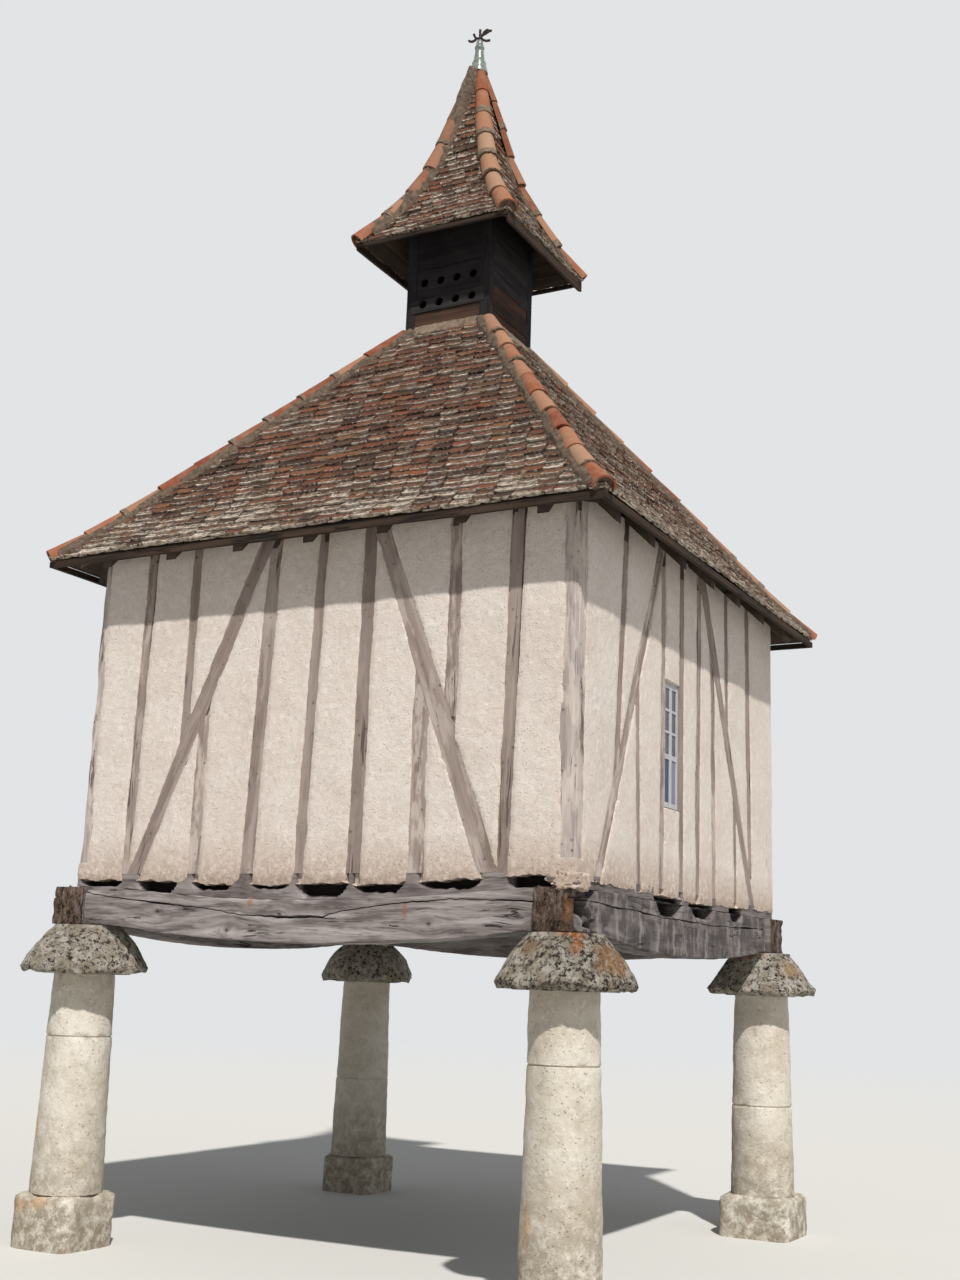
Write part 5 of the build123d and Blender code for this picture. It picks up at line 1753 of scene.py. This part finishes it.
posts = []
post_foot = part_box("lantern_posts")[0].z
for x, y in corners:

    def rule(point):
        spot = point + wander(point, 0.2, 0.003)
        return Vector((x * min(abs(spot.x), lantern_half), y * min(abs(spot.y), lantern_half), spot.z))

    inner = lantern_half - post_width
    posts.append(corner_post(x, y, inner, lantern_half, post_foot, lantern_top, (2, 2, 16), rule, 0.7))
new_piece("lantern_corner_posts", posts, board_wood_and_shade, "lantern_wood", "lantern_posts")

# %% Mortar kerb round the lantern's foot
kerb_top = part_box("lantern_kerb")[1].z
kerb_foot = head_height - (kerb_half - lantern_half) * tan(pitch) + 0.016
kerb = []
for side in walls:

    def rule(point):
        share = point.y
        run = lerp(lantern_half - 0.01, kerb_half - 0.004, share)
        along = point.x * run
        height = lerp(head_height - 0.12, lerp(kerb_top - 0.006, kerb_foot, share**0.8), point.z)
        uneven = waves((along, share, height), (0.09, 0.008), (0.03, 0.004))
        if share > 0.9:
            run += min(0.004, uneven)
        if point.z > 0.9:
            height += uneven - 0.004
        return on_slope(side, Vector((run, height)), along)

    kerb.append(block((-1, 0, 0), (1, 1, 1), (44, 3, 2), rule))
new_piece("mortar_kerb", kerb, kerb_mortar, "mortar", "lantern_kerb", sharp=60)

# %% [markdown]
# ## Lantern roof
# The lantern's roof sweeps up in a hollow curve to a point. Its outline is the CAD's arc, given by
# its foot, its steepness there and the point where it turns straight; the same tile-laying and
# hip-laying helpers do the rest with smaller tiles. The left hip lies under a heap of mortar.

# %% Lantern roof
lantern_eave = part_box("lantern_roof")[1].x
apex_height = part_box("lantern_roof")[1].z
lantern_rise = 1.72
lantern_foot = apex_height - lantern_rise
eaves_lean = radians(51.5)
sweep_rise, sweep_inset = 1.12, 0.51
across = 2 * (sweep_rise * cos(eaves_lean) - sweep_inset * sin(eaves_lean))
sweep_radius = (sweep_rise**2 + sweep_inset**2) / across
centre_run = lantern_eave + sweep_radius * sin(eaves_lean)
centre_rise = sweep_radius * cos(eaves_lean)
sweep = []
for step in range(15):
    rise = sweep_rise * step / 14
    sweep.append((centre_run - sqrt(sweep_radius**2 - (centre_rise - rise) ** 2), lantern_foot + rise))
sweep.append((0.048, apex_height))
lantern_slope = Slope(sweep)
lantern_tile = Tile(0.115, 0.155, 0.011, 0.066, 0.04, tile_variants(0.115, 0.155, 0.011, 9.0))
below_apex = (Vector((0, 0, apex_height - 0.01)), Vector((0, 0, 1)))
for side in walls:
    tiles = sliced(lay_tiles(side, lantern_slope, lantern_tile), *hip_planes(side, 0.0), below_apex)
    new_piece(f"{side}_lantern_tiles", [tiles], plain_clay, "plain_tiles", "lantern_roof", sharp=30)
boards = [board_slope(side, lantern_slope, 0.11, 0.034, 0.017, 0.3, 0.001, 6.0) for side in walls]
new_piece("lantern_roof_boards", boards, softwood, "roof_wood", "lantern_roof")
fascia_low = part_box("lantern_roof")[0].z
fascia_foot = {"front": 0.002, "right": -0.05, "rear": 0.002, "left": -0.02}
planks = [
    eaves_plank(side, lantern_eave - 0.006, fascia_low + foot, fascia_low + 0.034, 0.022, 5.0)
    for side, foot in fascia_foot.items()
]
new_piece("lantern_eaves_boards", planks, eaves_wood, "roof_wood", "lantern_roof")

# %% Lantern hips
near_tones = (0.36, 0.95, 0.52, 1.0, 0.45, 0.3, 0.12)
other_tones = (0.28, 0.5, 0.72, 0.6, 0.78, 0.74, 0.72)
radii = [(0.086, 0.068)] * 4 + [(0.08, 0.062), (0.072, 0.054), (0.062, 0.038)]
sweep_runs, sweep_levels = zip(*sweep)
tile_levels = [lantern_foot + lantern_rise * index / 7 for index in range(8)]
lantern_runs = np.interp(tile_levels, sweep_levels, sweep_runs).tolist()
tiles, laps, beds = [], [], []
for number, corner in enumerate(corners):
    tones = near_tones if corner == (1, -1) else other_tones
    points = lantern_slope.hip(lantern_runs, corner)
    made = hip_run(points, corner, radii, 0.045, 0.03, 40.0 + 10.0 * number, tones)
    tiles += made[0]
    laps += made[1]
    heap = 0.05 if corner == (-1, -1) else 0.0
    bed_points = lantern_slope.hip(sweep_runs[1:] if heap else sweep_runs[1:-3], corner)
    beds += hip_bed(bed_points, corner, 0.04, 0.1 + 0.4 * heap, 90.0 + number, heap)
tiles = sliced(tiles, (Vector((0, 0, apex_height - 0.001)), Vector((0, 0, 1))))
new_piece("lantern_hip_run", [tiles], hip_clay, "hip_tiles", "lantern_hip_tiles", sharp=50)
new_piece("lantern_lap_mortar", laps, lap_mortar, "mortar", "lantern_hip_tiles", sharp=60)
new_piece("lantern_hip_bedding", beds, mortar, "mortar", "lantern_hip_tiles", sharp=60)

# %% [markdown]
# ## Finial
# The finial is turned and glazed, so its outline is spun. The ornament on its rod was forged from
# flat bar: two prongs, a leaf and a curl. It is the CAD's own.

# %% Finial
finial_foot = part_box("finial")[0].z
finial_outline = (
    (0.0, 0.0), (0.078, 0.0), (0.078, 0.01), (0.072, 0.035), (0.065, 0.065), (0.06, 0.09),
    (0.061, 0.097), (0.059, 0.104), (0.051, 0.115), (0.046, 0.14), (0.042, 0.17), (0.038, 0.205),
    (0.037, 0.228), (0.041, 0.238), (0.042, 0.247), (0.038, 0.257), (0.033, 0.272), (0.029, 0.29),
    (0.026, 0.31), (0.024, 0.317), (0.014, 0.32), (0.0, 0.32),
)
profile = [(radius, finial_foot + height) for radius, height in finial_outline]
new_piece("turned_finial", [spun(profile, (0, 0, 0), 36, lambda point: point, 0.02)], glaze, "glazed_finial",
          "finial")
keep(iron, "finial_ornament")

# %% [markdown]
# ## Window and floor
# The window sits almost flush with the wall, and its panes almost flush with their frame, so that
# they show even along the wall. Stiles, rails and thin glazing bars are blocks between the CAD
# frame's corners. The floor seen from below is separate planks with gaps.

# %% Window
pane_low, pane_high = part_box("window_glass")
panel_low, panel_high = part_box("window_lower_panels")
low, high = window_low, window_high
stile = pane_low.y - low.y
middle = (low.y + high.y) / 2
window_face = half_frame - 0.007
bar_half = 0.008
sticks = [
    block((low.x, left, low.z), (window_face, left + stile, high.z), (0, 0, 12))
    for left in (low.y, middle - stile / 2, high.y - stile)
]
sticks += [
    block((low.x, low.y, foot), (window_face - 0.002, high.y, foot + stile), (0, 6, 0), along=1)
    for foot in (low.z, panel_high.z, high.z - stile)
]
for share in (1 / 3, 2 / 3):
    level = lerp(pane_low.z, pane_high.z, share)
    sticks.append(block((window_face - 0.022, pane_low.y, level - bar_half),
                        (window_face - 0.003, pane_high.y, level + bar_half), (0, 6, 0), along=1))
new_piece("window_sticks", sticks, window_paint, "window_paint", "window_frame")
lights = ((low.y + stile, middle - stile / 2), (middle + stile / 2, high.y - stile))
panes = [
    block((window_face - 0.014, left, pane_low.z), (window_face - 0.009, right, pane_high.z), (0, 0, 0))
    for left, right in lights
]
new_piece("window_panes", panes, glass, "window_glass", "window_glass")
for (left, right), finish, label in zip(lights, (dark_paint, light_paint), ("left", "right")):
    low = (window_face - 0.024, left, panel_low.z)
    panel = block(low, (window_face - 0.008, right, panel_high.z), (0, 0, 6))
    new_piece(f"{label}_lower_panel", [panel], finish, "window_paint", "window_lower_panels")

# %% Floor planks
floor_low, floor_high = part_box("floor_boards")
plank_count = 20
plank_gap = 0.002
width = (floor_high.x - floor_low.x) / plank_count
planks = []
for index in range(plank_count):
    left = floor_low.x + index * width
    low = (left + plank_gap, floor_low.y, floor_low.z)
    planks.append(block(low, (left + width - plank_gap, floor_high.y, floor_high.z), (0, 10, 0), along=1))
new_piece("floor_planks", planks, softwood, "roof_wood", "floor_boards")

# %% Sizes
print("triangles added:", total_triangles)
